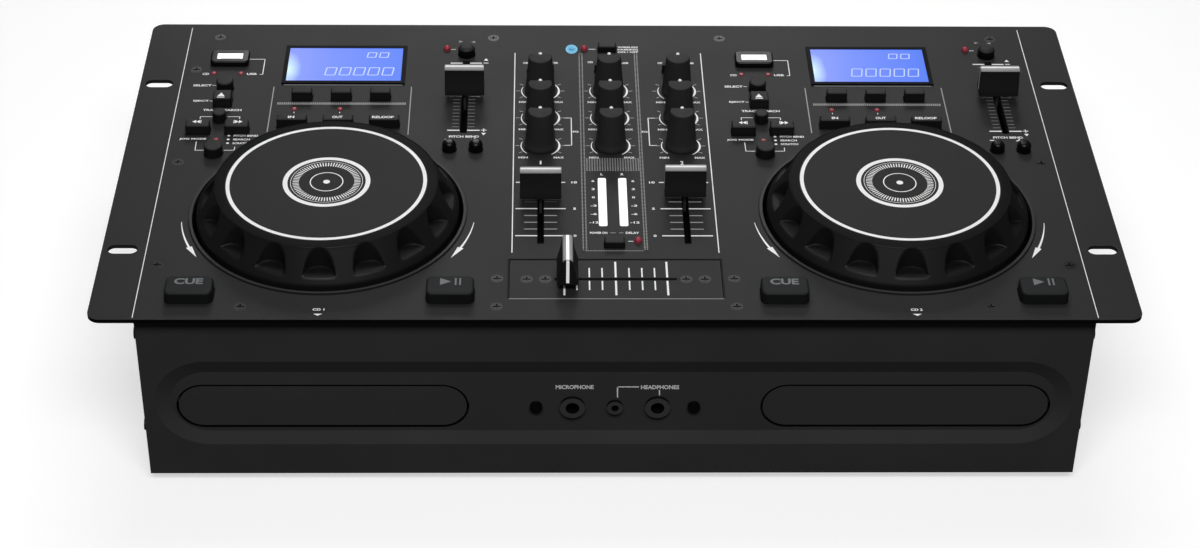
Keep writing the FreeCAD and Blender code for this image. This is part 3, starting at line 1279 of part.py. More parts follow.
switch_frame = framed("switch_frame", s.rocker_x, rear_level, pocket_width + walls, pocket_tall + walls,
                      s.rocker_body, pocket_width, pocket_tall, s.rocker_pocket)
pin_reach = pocket_width / 2 + s.rocker_pin_long
pin_span = (s.rocker_x - pin_reach, s.rocker_x + pin_reach)
rear_pieces.append(cut("switch_frame", switch_frame, [
    rod("pin_hole", s.rocker_pin + s.running_gap, pin_span, rear_face, rear_level, "x")]))
keep("rear_sockets", rear_pieces)
keep("mains_inlet", inlet_pieces)

rocker_body = new_body("rocker")
rocker_sketch = sketch_of(rocker_body, "XY_Plane", rectangle(around(ZERO, s.rocker_width),
                                                             around(ZERO, s.rocker_thick)),
                          s.rocker_tall / -2)
pad(rocker_body, rocker_sketch, s.rocker_tall)
rocker_body.Placement = Placement(Vector(), Rotation(Vector(1, 0, 0), s.rocker_tilt.number))
put(rocker_body, s.rocker_x, rear_face, rear_level)
pin = rod("pin", s.rocker_pin, (pin_span[0] + s.press_gap, pin_span[1] - s.press_gap),
          rear_face, rear_level, "x")
keep("power_switch", [fuse("power_switch", [rocker_body, pin])])


# ---------------------------------------------------------------- casing
def rack_slot(x, y):
    half = s.slot_wide / 2
    reach = s.slot_long / 2 - half
    through = (panel_under, panel_top)
    return [block("rack_slot", (x - reach, x + reach), (y - half, y + half), through),
            rod("rack_slot", half, x - reach, y, through), rod("rack_slot", half, x + reach, y, through)]


panel_body = new_body("panel_sheet")
panel_outline = rectangle(around(ZERO, s.panel_width), around(ZERO, s.panel_depth))
panel_sketch = sketch_of(panel_body, "XY_Plane", panel_outline, panel_under)
panel_pad = pad(panel_body, panel_sketch, s.panel_thickness)
doc.recompute()
corners = ["Edge%d" % number for number, edge in enumerate(panel_pad.Shape.Edges, start=1)
           if upright(edge.BoundBox)]
rounding = panel_body.newObject("PartDesign::Fillet", "panel_corners")
rounding.Base = (panel_pad, corners)
bind(rounding, "Radius", s.panel_corner)
lips = [rod("lip", s.jog_hole + s.jog_lip, x, s.jog_y, (panel_top, panel_top + s.jog_lip_rise))
        for x in decks.values()]
for way_x in (-1, 1):
    for way_y in (-1, 1):
        slot_y = s.slot_shift_y + s.slot_spacing_y / 2 * way_y
        panel_cuts.extend(rack_slot(s.slot_spacing_x / 2 * way_x, slot_y))
keep("top_panel", [cut("top_panel", fuse("panel_blank", [panel_body] + lips + panel_studs), panel_cuts)])

case_body = new_body("case_sheet")
case_x = around(ZERO, s.case_width)
case_sketch = sketch_of(case_body, "XY_Plane", rectangle(case_x, (front_back, rear_face)), s.foot_height)
pad(case_body, case_sketch, s.case_height - s.panel_thickness)
inside_x = around(ZERO, s.case_width - s.case_sheet * 2)
inside = rectangle(inside_x, (front_back - s.case_sheet, wall_inner))
inside_sketch = sketch_of(case_body, "XY_Plane", inside, floor_top)
pocket_up(case_body, inside_sketch, s.case_height)
flange_z = (panel_under - s.case_sheet, panel_under)
flanges = [block("rear_flange", inside_x, (wall_inner - s.rear_flange, wall_inner), flange_z)]
for way in (-1, 1):
    for y in (s.tab_rear_y, s.tab_middle_y, s.tab_front_y):
        wall = inside_x[1] if way > 0 else inside_x[0]
        tab_x = (wall - s.tab_width, wall) if way > 0 else (wall, wall + s.tab_width)
        flanges.append(block("tab", tab_x, around(y, s.tab_length), flange_z))
feet = []
for way in (-1, 1):
    for y in (front_back + s.foot_inset_y, rear_face - s.foot_inset_y):
        stem_top = floor_top + s.foot_stem_rise
        foot = turned("foot", [
            (ZERO, ZERO), (s.foot_radius, ZERO), (s.foot_top_radius, s.foot_height),
            (s.foot_stem, s.foot_height), (s.foot_stem, stem_top), (ZERO, stem_top)])
        feet.append(put(foot, (side_face - s.foot_inset_x) * way, y, ZERO))
        floor_cuts.append(rod("stem_hole", s.foot_stem + s.foot_stem_gap, (side_face - s.foot_inset_x) * way, y,
                              (s.foot_height, floor_top)))
keep("case_tray", [cut("case_tray", fuse("case_blank", [case_body] + flanges + floor_studs),
                       case_flange_cuts + rear_cuts + floor_cuts)])
keep("rubber_feet", feet)


def stadium_wire(width, tall, y, z):
    """Closed outline with round ends, standing in the plane at depth y."""
    half = tall / 2
    reach = width / 2 - half
    low_left, low_right = Vector(-reach, y, z - half), Vector(reach, y, z - half)
    high_left, high_right = Vector(-reach, y, z + half), Vector(reach, y, z + half)
    return Part.Wire([
        Part.makeLine(low_left, low_right),
        Part.Arc(low_right, Vector(reach + half, y, z), high_right).toShape(),
        Part.makeLine(high_right, high_left),
        Part.Arc(high_left, Vector(-reach - half, y, z), low_left).toShape()])


def recess_form(grow, front, back):
    """Solid between the recess's rim and its floor, both grown outward."""
    rim_z = number_of(s.foot_height + s.recess_centre)
    floor_z = rim_z - s.recess_drop.number
    width, tall = s.recess_width.number + 2 * grow, s.recess_tall.number + 2 * grow
    slope = 2 * s.recess_slope.number
    return Part.makeLoft([stadium_wire(width, tall, front, rim_z),
                          stadium_wire(width - slope, tall - slope, back, floor_z)], True, True)


half_sheet = s.front_sheet.number / 2
plate_shape = Part.makeBox(s.case_width.number, s.front_sheet.number, number_of(panel_under - s.foot_height),
                           Vector(-side_face.number, front_face.number, s.foot_height.number))
backing = recess_form(half_sheet, front_face.number + half_sheet, recess_back.number)
hollow = recess_form(0, front_face.number, recess_face.number)
front_sheet = doc.addObject("Part::Feature", "front_sheet")
front_sheet.Shape = plate_shape.fuse(backing).cut(hollow).removeSplitter()
front_flanges = []
for way in (-1, 1):
    wall = inside_x[1] - s.sheet_gap if way > 0 else inside_x[0] + s.sheet_gap
    fold_x = (wall - s.front_sheet, wall) if way > 0 else (wall, wall + s.front_sheet)
    front_flanges.append(block("side_fold", fold_x, (front_back, front_back + s.flange_depth),
                               (floor_top + s.sheet_gap, panel_under)))
    for x in (s.front_screw_x, s.bridge_screw):
        tab_y = (front_back, front_back + s.tab_width)
        front_flanges.append(block("front_tab", around(x * way, s.tab_length), tab_y,
                                   (panel_under - s.front_sheet, panel_under)))
keep("front_panel", [cut("front_panel", fuse("front_blank", [front_sheet] + front_flanges),
                         front_cuts + front_flange_cuts)])
keep("screws", screws)

# ---------------------------------------------------------------- checks and files
doc.recompute()
for thing in doc.Objects:
    assert not {"Invalid", "Error"} & set(thing.State), thing.Label + ": " + str(thing.State)
os.makedirs("parts", exist_ok=True)
for name, node in sub_parts.items():
    shape = node.Shape
    assert not shape.isNull() and shape.isValid() and shape.Solids, name + ": not a valid solid"
    shape.exportStep("parts/%s.step" % name)
print(len(sub_parts), "sub-parts,", sum(len(node.Shape.Solids) for node in sub_parts.values()), "solids")
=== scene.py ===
import bmesh
import bpy
import json
from functools import cache
from math import copysign, cos, hypot, pi, radians, sin, sqrt, tau
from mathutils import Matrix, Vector

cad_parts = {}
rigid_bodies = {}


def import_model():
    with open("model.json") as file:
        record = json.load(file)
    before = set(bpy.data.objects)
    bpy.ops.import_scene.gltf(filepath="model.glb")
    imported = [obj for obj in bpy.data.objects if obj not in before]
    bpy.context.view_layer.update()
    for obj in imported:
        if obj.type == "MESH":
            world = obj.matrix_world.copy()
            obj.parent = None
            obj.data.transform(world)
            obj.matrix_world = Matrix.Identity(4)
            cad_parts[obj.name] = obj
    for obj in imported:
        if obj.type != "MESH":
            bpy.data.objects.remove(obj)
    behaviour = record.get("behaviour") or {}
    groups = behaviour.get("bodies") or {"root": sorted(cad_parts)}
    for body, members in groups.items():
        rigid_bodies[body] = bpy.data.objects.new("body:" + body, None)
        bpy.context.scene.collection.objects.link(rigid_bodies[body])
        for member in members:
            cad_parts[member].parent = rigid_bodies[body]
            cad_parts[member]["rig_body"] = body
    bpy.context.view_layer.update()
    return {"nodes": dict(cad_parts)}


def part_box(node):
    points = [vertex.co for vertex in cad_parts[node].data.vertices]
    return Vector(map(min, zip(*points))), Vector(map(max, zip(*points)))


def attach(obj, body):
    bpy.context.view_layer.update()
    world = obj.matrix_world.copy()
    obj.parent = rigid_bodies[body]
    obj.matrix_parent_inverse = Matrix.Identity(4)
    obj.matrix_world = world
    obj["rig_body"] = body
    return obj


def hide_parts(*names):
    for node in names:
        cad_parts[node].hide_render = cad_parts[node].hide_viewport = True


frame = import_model()
cadNodes = frame["nodes"]
print("frame loaded:", len(cadNodes), "nodes")

# lengths below are in millimetres, except the floor's, the camera's and the lamps', which are in metres
mm = 0.001
heights = {"panel": 100.4, "plate": 100.1, "glass": 101.0, "recess": -123.1, "ink": 0.03}
decks = {"left": 0.0, "right": 274.0}
deckPlan = {"middle": -137.0, "wheelY": -44.65}


def newObject(name, data):
    holder = bpy.data.objects.new(name, data)
    bpy.context.scene.collection.objects.link(holder)
    return holder


# shader helpers
def newNode(tree, kind, values=None, operation=None):
    # a shader node with some of its inputs set
    node = tree.nodes.new("ShaderNode" + kind)
    if operation:
        node.operation = operation
    for socket, value in (values or {}).items():
        node.inputs[socket].default_value = value
    return node


def join(source, output, target, socket):
    source.id_data.links.new(source.outputs[output], target.inputs[socket])


def newRamp(tree, stops):
    # a colour ramp through (place, colour) stops
    ramp = newNode(tree, "ValToRGB")
    elements = ramp.color_ramp.elements
    for element, (place, colour) in zip(elements, (stops[0], stops[-1])):
        element.position = place
        element.color = (*colour, 1)
    for place, colour in stops[1:-1]:
        elements.new(place).color = (*colour, 1)
    return ramp


def newMaterial(name, sockets):
    material = bpy.data.materials.new(name)
    material.use_nodes = True
    shader = material.node_tree.nodes["Principled BSDF"]
    for socket, value in sockets.items():
        shader.inputs[socket].default_value = value
    return material, material.node_tree, shader


# materials: each one has its own grain, mottling and gloss variation
plainLook = {"spread": 0.12, "grain": 2600, "mottle": 25, "roughSpread": 0.06, "bump": 0.08, "depth": 0.0002}


def finish(name, colour, rough, sockets, changes=None):
    # a principled shader; the changes are to the plain look, the sockets are its own inputs
    look = {**plainLook, **(changes or {})}
    material, tree, shader = newMaterial(name, sockets)
    where = newNode(tree, "TexCoord")
    grain = newNode(tree, "TexNoise", {"Scale": look["grain"], "Detail": 3.0})
    mottle = newNode(tree, "TexNoise", {"Scale": look["mottle"], "Detail": 4.0})
    half = newNode(tree, "Math", {1: 0.5}, "MULTIPLY")
    blend = newNode(tree, "Math", {1: 0.5}, "MULTIPLY_ADD")
    low = [c * (1 - look["spread"]) for c in colour]
    high = [min(1.0, c * (1 + look["spread"])) for c in colour]
    ramp = newRamp(tree, ((0.3, low), (0.7, high)))
    gloss = newNode(tree, "MapRange", {"To Min": max(0.02, rough - look["roughSpread"]),
                                       "To Max": min(1.0, rough + look["roughSpread"])})
    relief = newNode(tree, "Bump", {"Strength": look["bump"], "Distance": look["depth"]})
    join(where, "Object", grain, "Vector")
    join(where, "Object", mottle, "Vector")
    join(mottle, "Fac", half, 0)
    join(grain, "Fac", blend, 0)
    join(half, 0, blend, 2)
    join(blend, 0, ramp, "Fac")
    join(ramp, "Color", shader, "Base Color")
    join(mottle, "Fac", gloss, "Value")
    join(gloss, "Result", shader, "Roughness")
    join(grain, "Fac", relief, "Height")
    join(relief, "Normal", shader, "Normal")
    return material


plastic = {"Specular IOR Level": 0.35}
dull = {"Specular IOR Level": 0.2}
flat = {"Specular IOR Level": 0.06}
# colour, roughness, shader inputs, then what differs from the plain look
paintSheet = {
    "panel": ((0.019, 0.019, 0.0194), 0.52, dull, {"grain": 3200, "bump": 0.1}),
    # painted shade: the sheet's outer edge, near black
    "edge": ((0.0035, 0.0035, 0.0036), 0.6, flat, {"grain": 3000, "bump": 0.1}),
    # painted highlight: the raised lip round each wheel, paler than the sheet it is part of
    "lipEdge": ((0.026, 0.026, 0.0265), 0.45, dull, {"grain": 2800}),
    # painted light: the case, front and doors share the panel's paint, painted lighter than it
    "case": ((0.042, 0.042, 0.0424), 0.55, dull, {"grain": 3000, "bump": 0.14}),
    "jogRim": ((0.0078, 0.0078, 0.008), 0.46, dull, {"grain": 1800}),
    "jogTop": ((0.018, 0.018, 0.0184), 0.6, dull, {"grain": 2800, "bump": 0.06}),
    "jogBand": ((0.007, 0.007, 0.0072), 0.55, flat, {"grain": 2800}),
    # painted shade: the shelves of the jog wheels' finger hollows
    "jogFloor": ((0.003, 0.003, 0.0031), 0.5, dull, {"grain": 1800}),
    "knob": ((0.024, 0.024, 0.0242), 0.6, dull, {"grain": 2000}),
    "knobTop": ((0.024, 0.024, 0.0242), 0.6, dull, {"grain": 2400}),
    # painted shade and painted light: the keys' sides and tops, one plastic in a dark and a light copy; the dark one
    # is also the switches' own colour
    "key": ((0.0065, 0.0065, 0.0067), 0.5, dull, {"grain": 2200}),
    "keyTop": ((0.022, 0.022, 0.0224), 0.55, dull, {"grain": 2200}),
    "domeKey": ((0.0022, 0.0022, 0.0023), 0.28, dull, {"grain": 2200, "bump": 0.03}),
    # painted light and painted shade: the cue and play keys' tops and sides, one rubber in a light and a dark copy
    "rubberKey": ((0.0125, 0.0136, 0.0143), 0.62, dull, {"grain": 2200}),
    "rubberSide": ((0.0072, 0.0076, 0.008), 0.6, dull, {"grain": 2200}),
    "capSide": ((0.01, 0.01, 0.0102), 0.5, dull, {"grain": 1600}),
    "capRidge": ((0.33, 0.33, 0.33), 0.45, plastic, {"grain": 1600}),
    "ink": ((0.92, 0.92, 0.92), 0.55, {}, {"spread": 0.05, "bump": 0.03}),
    "greyInk": ((0.36, 0.36, 0.36), 0.55, {}, {"spread": 0.08, "bump": 0.03}),
    # print, and painted highlights along the plate's and the display frames' front edges
    "softInk": ((0.26, 0.26, 0.26), 0.55, {}, {"spread": 0.08, "bump": 0.03}),
    # painted shadow: thin lines round the crossfader plate and round the wheels
    "darkInk": ((0.0045, 0.0045, 0.0045), 0.6, dull, {"spread": 0.1, "bump": 0.03}),
    "keyInk": ((0.148, 0.16, 0.168), 0.55, {}, {"spread": 0.08, "bump": 0.03}),
    "blueInk": ((0.2, 0.6, 0.86), 0.4, dull, {"bump": 0.03}),
    "deepBlue": ((0.14, 0.5, 0.78), 0.4, dull, {"bump": 0.03}),
    "blueLight": ((0.1, 0.42, 0.66), 0.3, plastic, {"spread": 0.15, "bump": 0.02}),
    "redLight": ((0.3, 0.04, 0.055), 0.3, plastic, {"spread": 0.3, "mottle": 900}),
    "domeLight": ((0.34, 0.035, 0.06), 0.22, plastic, {"spread": 0.3, "mottle": 700}),
    "frame": ((0.0022, 0.0025, 0.0045), 0.5, flat),
    "black": ((0.002, 0.002, 0.002), 0.7, flat),
    "gloss": ((0.003, 0.003, 0.003), 0.28, dull, {"grain": 1200, "bump": 0.03}),
    "steel": ((0.042, 0.042, 0.042), 0.35, {"Metallic": 1.0}, {"grain": 900}),
    "bright": ((0.82, 0.82, 0.8), 0.35, {"Metallic": 0.25}, {"grain": 1500}),
    "darkMetal": ((0.012, 0.012, 0.012), 0.35, {"Metallic": 0.7}, {"grain": 1500}),
    "works": ((0.3, 0.3, 0.29), 0.35, {"Metallic": 0.9}, {"grain": 1200}),
    # painted light: the jack nuts' front faces, lighter than their metal sides, in place of their reflections
    "nut": ((0.055, 0.055, 0.055), 0.3, plastic, {"grain": 1500, "bump": 0.03}),
    "rubber": ((0.012, 0.012, 0.012), 0.8, dull, {"grain": 1200, "bump": 0.2}),
    "board": ((0.015, 0.085, 0.035), 0.4, {}, {"mottle": 160, "spread": 0.3}),
    "tray": ((0.02, 0.02, 0.021), 0.45, plastic, {"grain": 1800}),
    "red": ((0.45, 0.015, 0.012), 0.4, plastic),
    "white": ((0.72, 0.72, 0.7), 0.4, plastic),
}
# pieces that glow: the colour of their light, its strength, colour of the plastic; the digits are lit from behind,
# while the glow of the crossfader's line and of the USB ports' shell and tongue is painted light
lightSheet = {
    "lineInk": ((1.0, 1.0, 1.0), 0.35, (0.85, 0.85, 0.85)), "meter": ((1.0, 1.0, 1.0), 0.4, (0.8, 0.8, 0.8)),
    "usbMetal": ((1.0, 1.0, 1.0), 0.5, (0.85, 0.85, 0.85)), "usbTongue": ((1.0, 1.0, 1.0), 0.3, (0.75, 0.75, 0.76)),
    "digitInk": ((0.46, 0.56, 1.0), 1.0, (0.05, 0.06, 0.10)),
}
paints = {name: finish(name + "Finish", *row) for name, row in paintSheet.items()}
for name, (light, strength, base) in lightSheet.items():
    lit = {"Emission Color": (*light, 1), "Emission Strength": strength}
    paints[name] = finish(name + "Finish", base, 0.35, lit, {"spread": 0.06, "bump": 0.02})

# the ramp's places run from the lamp's corner across the glass
glassLook = {
    "stops": ((0.03, (0.66, 0.90, 0.97)), (0.14, (0.205, 0.287, 0.93)),
              (0.42, (0.140, 0.240, 0.92)), (1.0, (0.075, 0.187, 0.86))),
    "stretch": (1.0, 0.22, 0.0), "lampCorner": (0.0, -0.08, 0.0), "cloudScale": 60.0, "cloud": 0.04,
    "unlit": 0.06, "sockets": {"Emission Strength": 1.0, "Roughness": 0.3, "Specular IOR Level": 0.1},
}


def displayGlass():
    # backlit glass: cyan-white at its left edge, fading to an even blue
    look = glassLook
    material, tree, shader = newMaterial("displayGlass", look["sockets"])
    where = newNode(tree, "TexCoord")
    place = newNode(tree, "VectorMath", {1: look["stretch"], 2: look["lampCorner"]}, "MULTIPLY_ADD")
    away = newNode(tree, "VectorMath", None, "LENGTH")
    cloud = newNode(tree, "TexNoise", {"Scale": look["cloudScale"]})
    mixed = newNode(tree, "Math", {1: look["cloud"]}, "MULTIPLY_ADD")
    ramp = newRamp(tree, look["stops"])
    dim = newNode(tree, "HueSaturation", {"Value": look["unlit"]})
    join(where, "UV", place, 0)
    join(place, "Vector", away, 0)
    join(where, "Object", cloud, "Vector")
    join(cloud, "Fac", mixed, 0)
    join(away, "Value", mixed, 2)
    join(mixed, 0, ramp, "Fac")
    join(ramp, "Color", shader, "Emission Color")
    join(ramp, "Color", dim, "Color")
    join(dim, "Color", shader, "Base Color")
    return material


paints["glass"] = displayGlass()
print("materials ready:", len(paints))


def wear(node, paint):
    # a CAD node keeps its shape and takes a better material
    materials = cadNodes[node].data.materials
    if not materials:
        materials.append(paints[paint])
    for index in range(len(materials)):
        materials[index] = paints[paint]


def addPiece(name, vertices, faces, paintNames, body, slotName, faceIndex=None, smooth=None):
    # a mesh piece from points in millimetres
    mesh = bpy.data.meshes.new(name)
    mesh.from_pydata([(x * mm, y * mm, z * mm) for x, y, z in vertices], [], faces)
    for paintName in paintNames:
        mesh.materials.append(paints[paintName])
    if faceIndex:
        mesh.polygons.foreach_set("material_index", faceIndex)
    if smooth:
        mesh.polygons.foreach_set("use_smooth", [True] * len(mesh.polygons))
        mesh.set_sharp_from_angle(angle=radians(smooth))
    mesh.update()
    piece = newObject(name, mesh)
    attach(piece, body)
    return piece


def islandsOf(shape):
    # groups of faces that hang together, each with its box in millimetres
    waiting = set(shape.faces)
    while waiting:
        members, stack = [], [waiting.pop()]
        while stack:
            face = stack.pop()
            members.append(face)
            near = {other for edge in face.edges for other in edge.link_faces} & waiting
            waiting -= near
            stack.extend(near)
        points = [v.co / mm for face in members for v in face.verts]
        yield members, Vector(map(min, zip(*points))), Vector(map(max, zip(*points)))


def dressCopy(node, pieceName, paintNames, choose, sharp=32):
    # a copy of a CAD node; choose names the paint of a face from its solid's box, its middle and itself
    source = cadNodes[node]
    shape = bmesh.new()
    shape.from_mesh(source.data)
    bmesh.ops.remove_doubles(shape, verts=shape.verts, dist=1e-6)
    for members, low, high in islandsOf(shape):
        for face in members:
            middle = face.calc_center_median() / mm
            face.material_index = paintNames.index(choose(low, high, middle, face))
    mesh = bpy.data.meshes.new(pieceName)
    shape.to_mesh(mesh)
    shape.free()
    if "custom_normal" in mesh.attributes:
        mesh.attributes.remove(mesh.attributes["custom_normal"])
    for paintName in paintNames:
        mesh.materials.append(paints[paintName])
    mesh.polygons.foreach_set("use_smooth", [True] * len(mesh.polygons))
    mesh.set_sharp_from_angle(angle=radians(sharp))
    piece = newObject(pieceName, mesh)
    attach(piece, source["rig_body"])
    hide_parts(node)
    return piece


# print: flat shapes collected on one plane and laid down as one mesh
def levelPlane(height):
    return lambda x, y: (x, y, height + heights["ink"])


panelPlane = levelPlane(heights["panel"])


def newPrint(plane):
    return {"plane": plane, "vertices": [], "faces": []}


def addShape(sheet, points):
    start = len(sheet["vertices"])
    sheet["vertices"].extend(sheet["plane"](x, y) for x, y in points)
    sheet["faces"].append(tuple(range(start, start + len(points))))


def addBox(sheet, x0, y0, x1, y1):
    addShape(sheet, [(x0, y0), (x1, y0), (x1, y1), (x0, y1)])


def addLine(sheet, points, wide):
    # a run of straight bars through the points
    for (ax, ay), (bx, by) in zip(points, points[1:]):
        length = hypot(bx - ax, by - ay)
        ux, uy = (bx - ax) / length * wide / 2, (by - ay) / length * wide / 2
        addShape(sheet, [(ax - ux + uy, ay - uy - ux), (bx + ux + uy, by + uy - ux),
                         (bx + ux - uy, by + uy + ux), (ax - ux - uy, ay - uy + ux)])


def addArc(sheet, cx, cy, radius, start, end, wideStart, wideEnd, steps=24):
    # a band along an arc; angles in degrees, counter-clockwise from +X; the width may change along it
    inner, outer = [], []
    for step in range(steps + 1):
        share = step / steps
        angle = radians(start + (end - start) * share)
        half = (wideStart + (wideEnd - wideStart) * share) / 2
        inner.append((cx + (radius - half) * cos(angle), cy + (radius - half) * sin(angle)))
        outer.append((cx + (radius + half) * cos(angle), cy + (radius + half) * sin(angle)))
    for i in range(steps):
        quad = [inner[i], outer[i], outer[i + 1], inner[i + 1]]
        addShape(sheet, quad if end > start else quad[::-1])


def addRing(sheet, cx, cy, inner, outer, steps):
    addArc(sheet, cx, cy, (inner + outer) / 2, 0, 360, outer - inner, outer - inner, steps)


def addDisc(sheet, cx, cy, halfWide, halfTall, steps):
    turns = [i * tau / steps for i in range(steps)]
    addShape(sheet, [(cx + halfWide * cos(a), cy + halfTall * sin(a)) for a in turns])


def addDots(sheet, x0, y0, x1, y1, pitch, size):
    # a dotted line of small squares
    count = max(1, round(hypot(x1 - x0, y1 - y0) / pitch))
    for i in range(count + 1):
        x, y = x0 + (x1 - x0) * i / count, y0 + (y1 - y0) * i / count
        addBox(sheet, x - size / 2, y - size / 2, x + size / 2, y + size / 2)


def addGrid(sheet, x0, y0, columns, rows, stepX, stepY, halfX, halfY):
    # columns and rows of small bars, from the first one's middle
    for x in (x0 + column * stepX for column in range(columns)):
        for y in (y0 - row * stepY for row in range(rows)):
            addBox(sheet, x - halfX, y - halfY, x + halfX, y + halfY)


def addTick(sheet, cx, cy, inner, outer, angle, wide):
    # a short line that points away from a centre
    across, up = cos(angle), sin(angle)
    addLine(sheet, [(cx + inner * across, cy + inner * up), (cx + outer * across, cy + outer * up)], wide)


@cache
def outlineOf(text, weight):
    # the built-in font's letters as triangles, kept for the next use
    curve = bpy.data.curves.new("lettering", "FONT")
    curve.body = text
    curve.size = 1.0
    curve.resolution_u = 3
    curve.offset = weight
    carrier = newObject("lettering", curve)
    bpy.context.view_layer.update()
    mesh = bpy.data.meshes.new_from_object(carrier.evaluated_get(bpy.context.evaluated_depsgraph_get()))
    points = [(v.co.x, v.co.y) for v in mesh.vertices]
    faces = [tuple(p.vertices) for p in mesh.polygons]
    bpy.data.objects.remove(carrier)
    bpy.data.curves.remove(curve)
    bpy.data.meshes.remove(mesh)
    return points, faces


def addWords(sheet, text, x0, x1, y, tall, weight=0.03):
    # words that fill x0 to x1 and stand tall, with their middle at y
    points, faces = outlineOf(text, weight)
    left, right = min(p[0] for p in points), max(p[0] for p in points)
    low, high = min(p[1] for p in points), max(p[1] for p in points)
    wide = (x1 - x0) / (right - left)
    high = max(high, low + 0.5)
    start = len(sheet["vertices"])
    sheet["vertices"].extend(
        sheet["plane"](x0 + (px - left) * wide, y + ((py - low) / (high - low) - 0.5) * tall) for px, py in points)
    for face in faces:
        (ax, ay), (bx, by), (cx, cy) = (points[i] for i in face[:3])
        turned = (bx - ax) * (cy - ay) - (by - ay) * (cx - ax) < 0
        sheet["faces"].append(tuple(start + i for i in (face[::-1] if turned else face)))


def drawMarks(sheet, marks, shift=0):
    # one table's marks, moved along X: words (text, x0, x1, y, tall), lines (wide, points), shapes (points),
    # boxes and dots (x0, y0, x1, y1, and the dots' pitch and size), grids, discs and rings as their functions say
    for text, x0, x1, y, *size in marks.get("words", ()):
        addWords(sheet, text, x0 + shift, x1 + shift, y, *size)
    for wide, *points in marks.get("lines", ()):
        addLine(sheet, [(x + shift, y) for x, y in points], wide)
    for points in marks.get("shapes", ()):
        addShape(sheet, [(x + shift, y) for x, y in points])
    for x0, y0, x1, y1 in marks.get("boxes", ()):
        addBox(sheet, x0 + shift, y0, x1 + shift, y1)
    for x0, y0, x1, y1, pitch, size in marks.get("dots", ()):
        addDots(sheet, x0 + shift, y0, x1 + shift, y1, pitch, size)
    for kind, draw in (("grids", addGrid), ("discs", addDisc), ("rings", addRing)):
        for x, *rest in marks.get(kind, ()):
            draw(sheet, x + shift, *rest)


def layPrint(sheet, name, paint, body="chassis", slotName="panel_sheet"):
    addPiece(name, sheet["vertices"], sheet["faces"], [paint], body, slotName)


def layMarks(plane, marks, shift, *names):
    # a print that is only one table's marks; the names go to layPrint
    sheet = newPrint(plane)
    drawMarks(sheet, marks, shift)
    layPrint(sheet, *names)


# lettering and lines of one deck, as they lie on the left deck; the other one's are shifted
deckMarks = {
    "white": {
        "words": (
            ("CD", -210.3, -206.9, 80.1, 1.9), ("USB", -187.4, -182.3, 80.2, 1.9),
            ("SELECT", -213.9, -204.5, 69.0, 1.9), ("EJECT", -212.3, -204.3, 54.1, 1.9),
            ("TRACK SEARCH", -206.5, -187.0, 45.6, 1.9), ("JOG MODE", -215.5, -202.1, 18.8, 1.9),
            ("PITCH BEND", -188.7, -176.5, 21.85, 1.7), ("SEARCH", -188.7, -180.35, 18.5, 1.7),
            ("SCRATCH", -188.7, -180.0, 15.1, 1.7), ("PITCH BEND", -81.0, -66.0, 21.5, 1.9),
        ),
        "lines": (
            (0.45, (-186.8, 94.7), (-179.2, 94.7), (-179.2, 79.8), (-180.5, 79.8)),  # from the USB port to its name
            (0.35, (-203.9, 69.0), (-202.4, 69.0)), (0.35, (-203.8, 54.1), (-202.4, 54.1)),
            (0.4, (-207.1, 37.4), (-207.1, 39.4), (-201.3, 39.4)),  # round the track keys
            (0.4, (-193.1, 39.4), (-187.2, 39.4), (-187.2, 37.5)),
            (0.4, (-206.75, 16.2), (-206.6, 8.7), (-202.05, 8.7)),  # round the jog mode key
            (0.4, (-192.2, 8.7), (-187.3, 8.75), (-187.15, 11.7)),
            (0.35, (-160.2, 43.9), (-160.2, 42.9)), (0.35, (-137.05, 43.9), (-137.05, 42.9)),
            (0.4, (-81.9, 105.0), (-79.9, 105.0)),  # beside the pitch key
            (0.6, (-64.6, 91.5), (-62.6, 91.5)), (0.6, (-64.8, 27.4), (-62.6, 27.4)),
            (0.6, (-63.7, 26.3), (-63.7, 28.5)),
            (0.75, (-82.6, 18.9), (-79.9, 18.9)), (0.7, (-69.3, 18.6), (-66.9, 18.6)),  # minus and plus
            (0.7, (-68.1, 17.4), (-68.1, 19.8)),
        ),
        "shapes": (
            ((-64.8, 93.9), (-62.4, 93.9), (-63.6, 96.1)), ((-62.5, 24.9), (-64.9, 24.9), (-63.7, 22.7)),
            ((-138.6, -125.5), (-136.5, -127.0), (-134.4, -125.5)),
        ),
        "discs": tuple((-191.1, y, 0.75, 0.75, 28) for y in (21.85, 18.5, 15.1)),
        # the long ticks of the pitch scale
        "grids": ((-78.95, 91.35, 2, 2, 10.1, 64.1, 3.1, 0.45), (-78.95, 58.7, 2, 1, 10.1, 0, 2.95, 0.3)),
    },
    "grey": {
        # the dotted bar above the display keys, and the short ticks of the pitch scale
        "grids": ((-169.0, 51.9, 62, 1, 1.062, 0, 0.3, 1.05), (-78.0, 88.125, 2, 9, 7.8, 3.225, 1.74, 0.14),
                  (-78.0, 55.915, 2, 9, 7.8, 3.185, 1.74, 0.14)),
        "lines": ((0.5, (-101.6, 67.9), (-101.6, 23.3)), (0.5, (-172.3, 67.5), (-172.3, 25.5))),
    },
    "soft": {"shapes": (((-78.2, 111.9), (-76.0, 113.0), (-78.2, 114.1)),
                        ((-69.7, 113.7), (-71.9, 112.6), (-69.7, 111.5)))},
    # radius, start, end and tip angles, way round
    "arrows": ((69.9, 187, 204.5, 212, 1), (70.6, -7, -24.5, -32, -1)), "arrowWide": (0.3, 1.1), "arrowHalf": 1.5,
    "number": {"left": "CD 1", "right": "CD 2", "place": (-139.1, -133.7, -122.3, 1.7)},
}


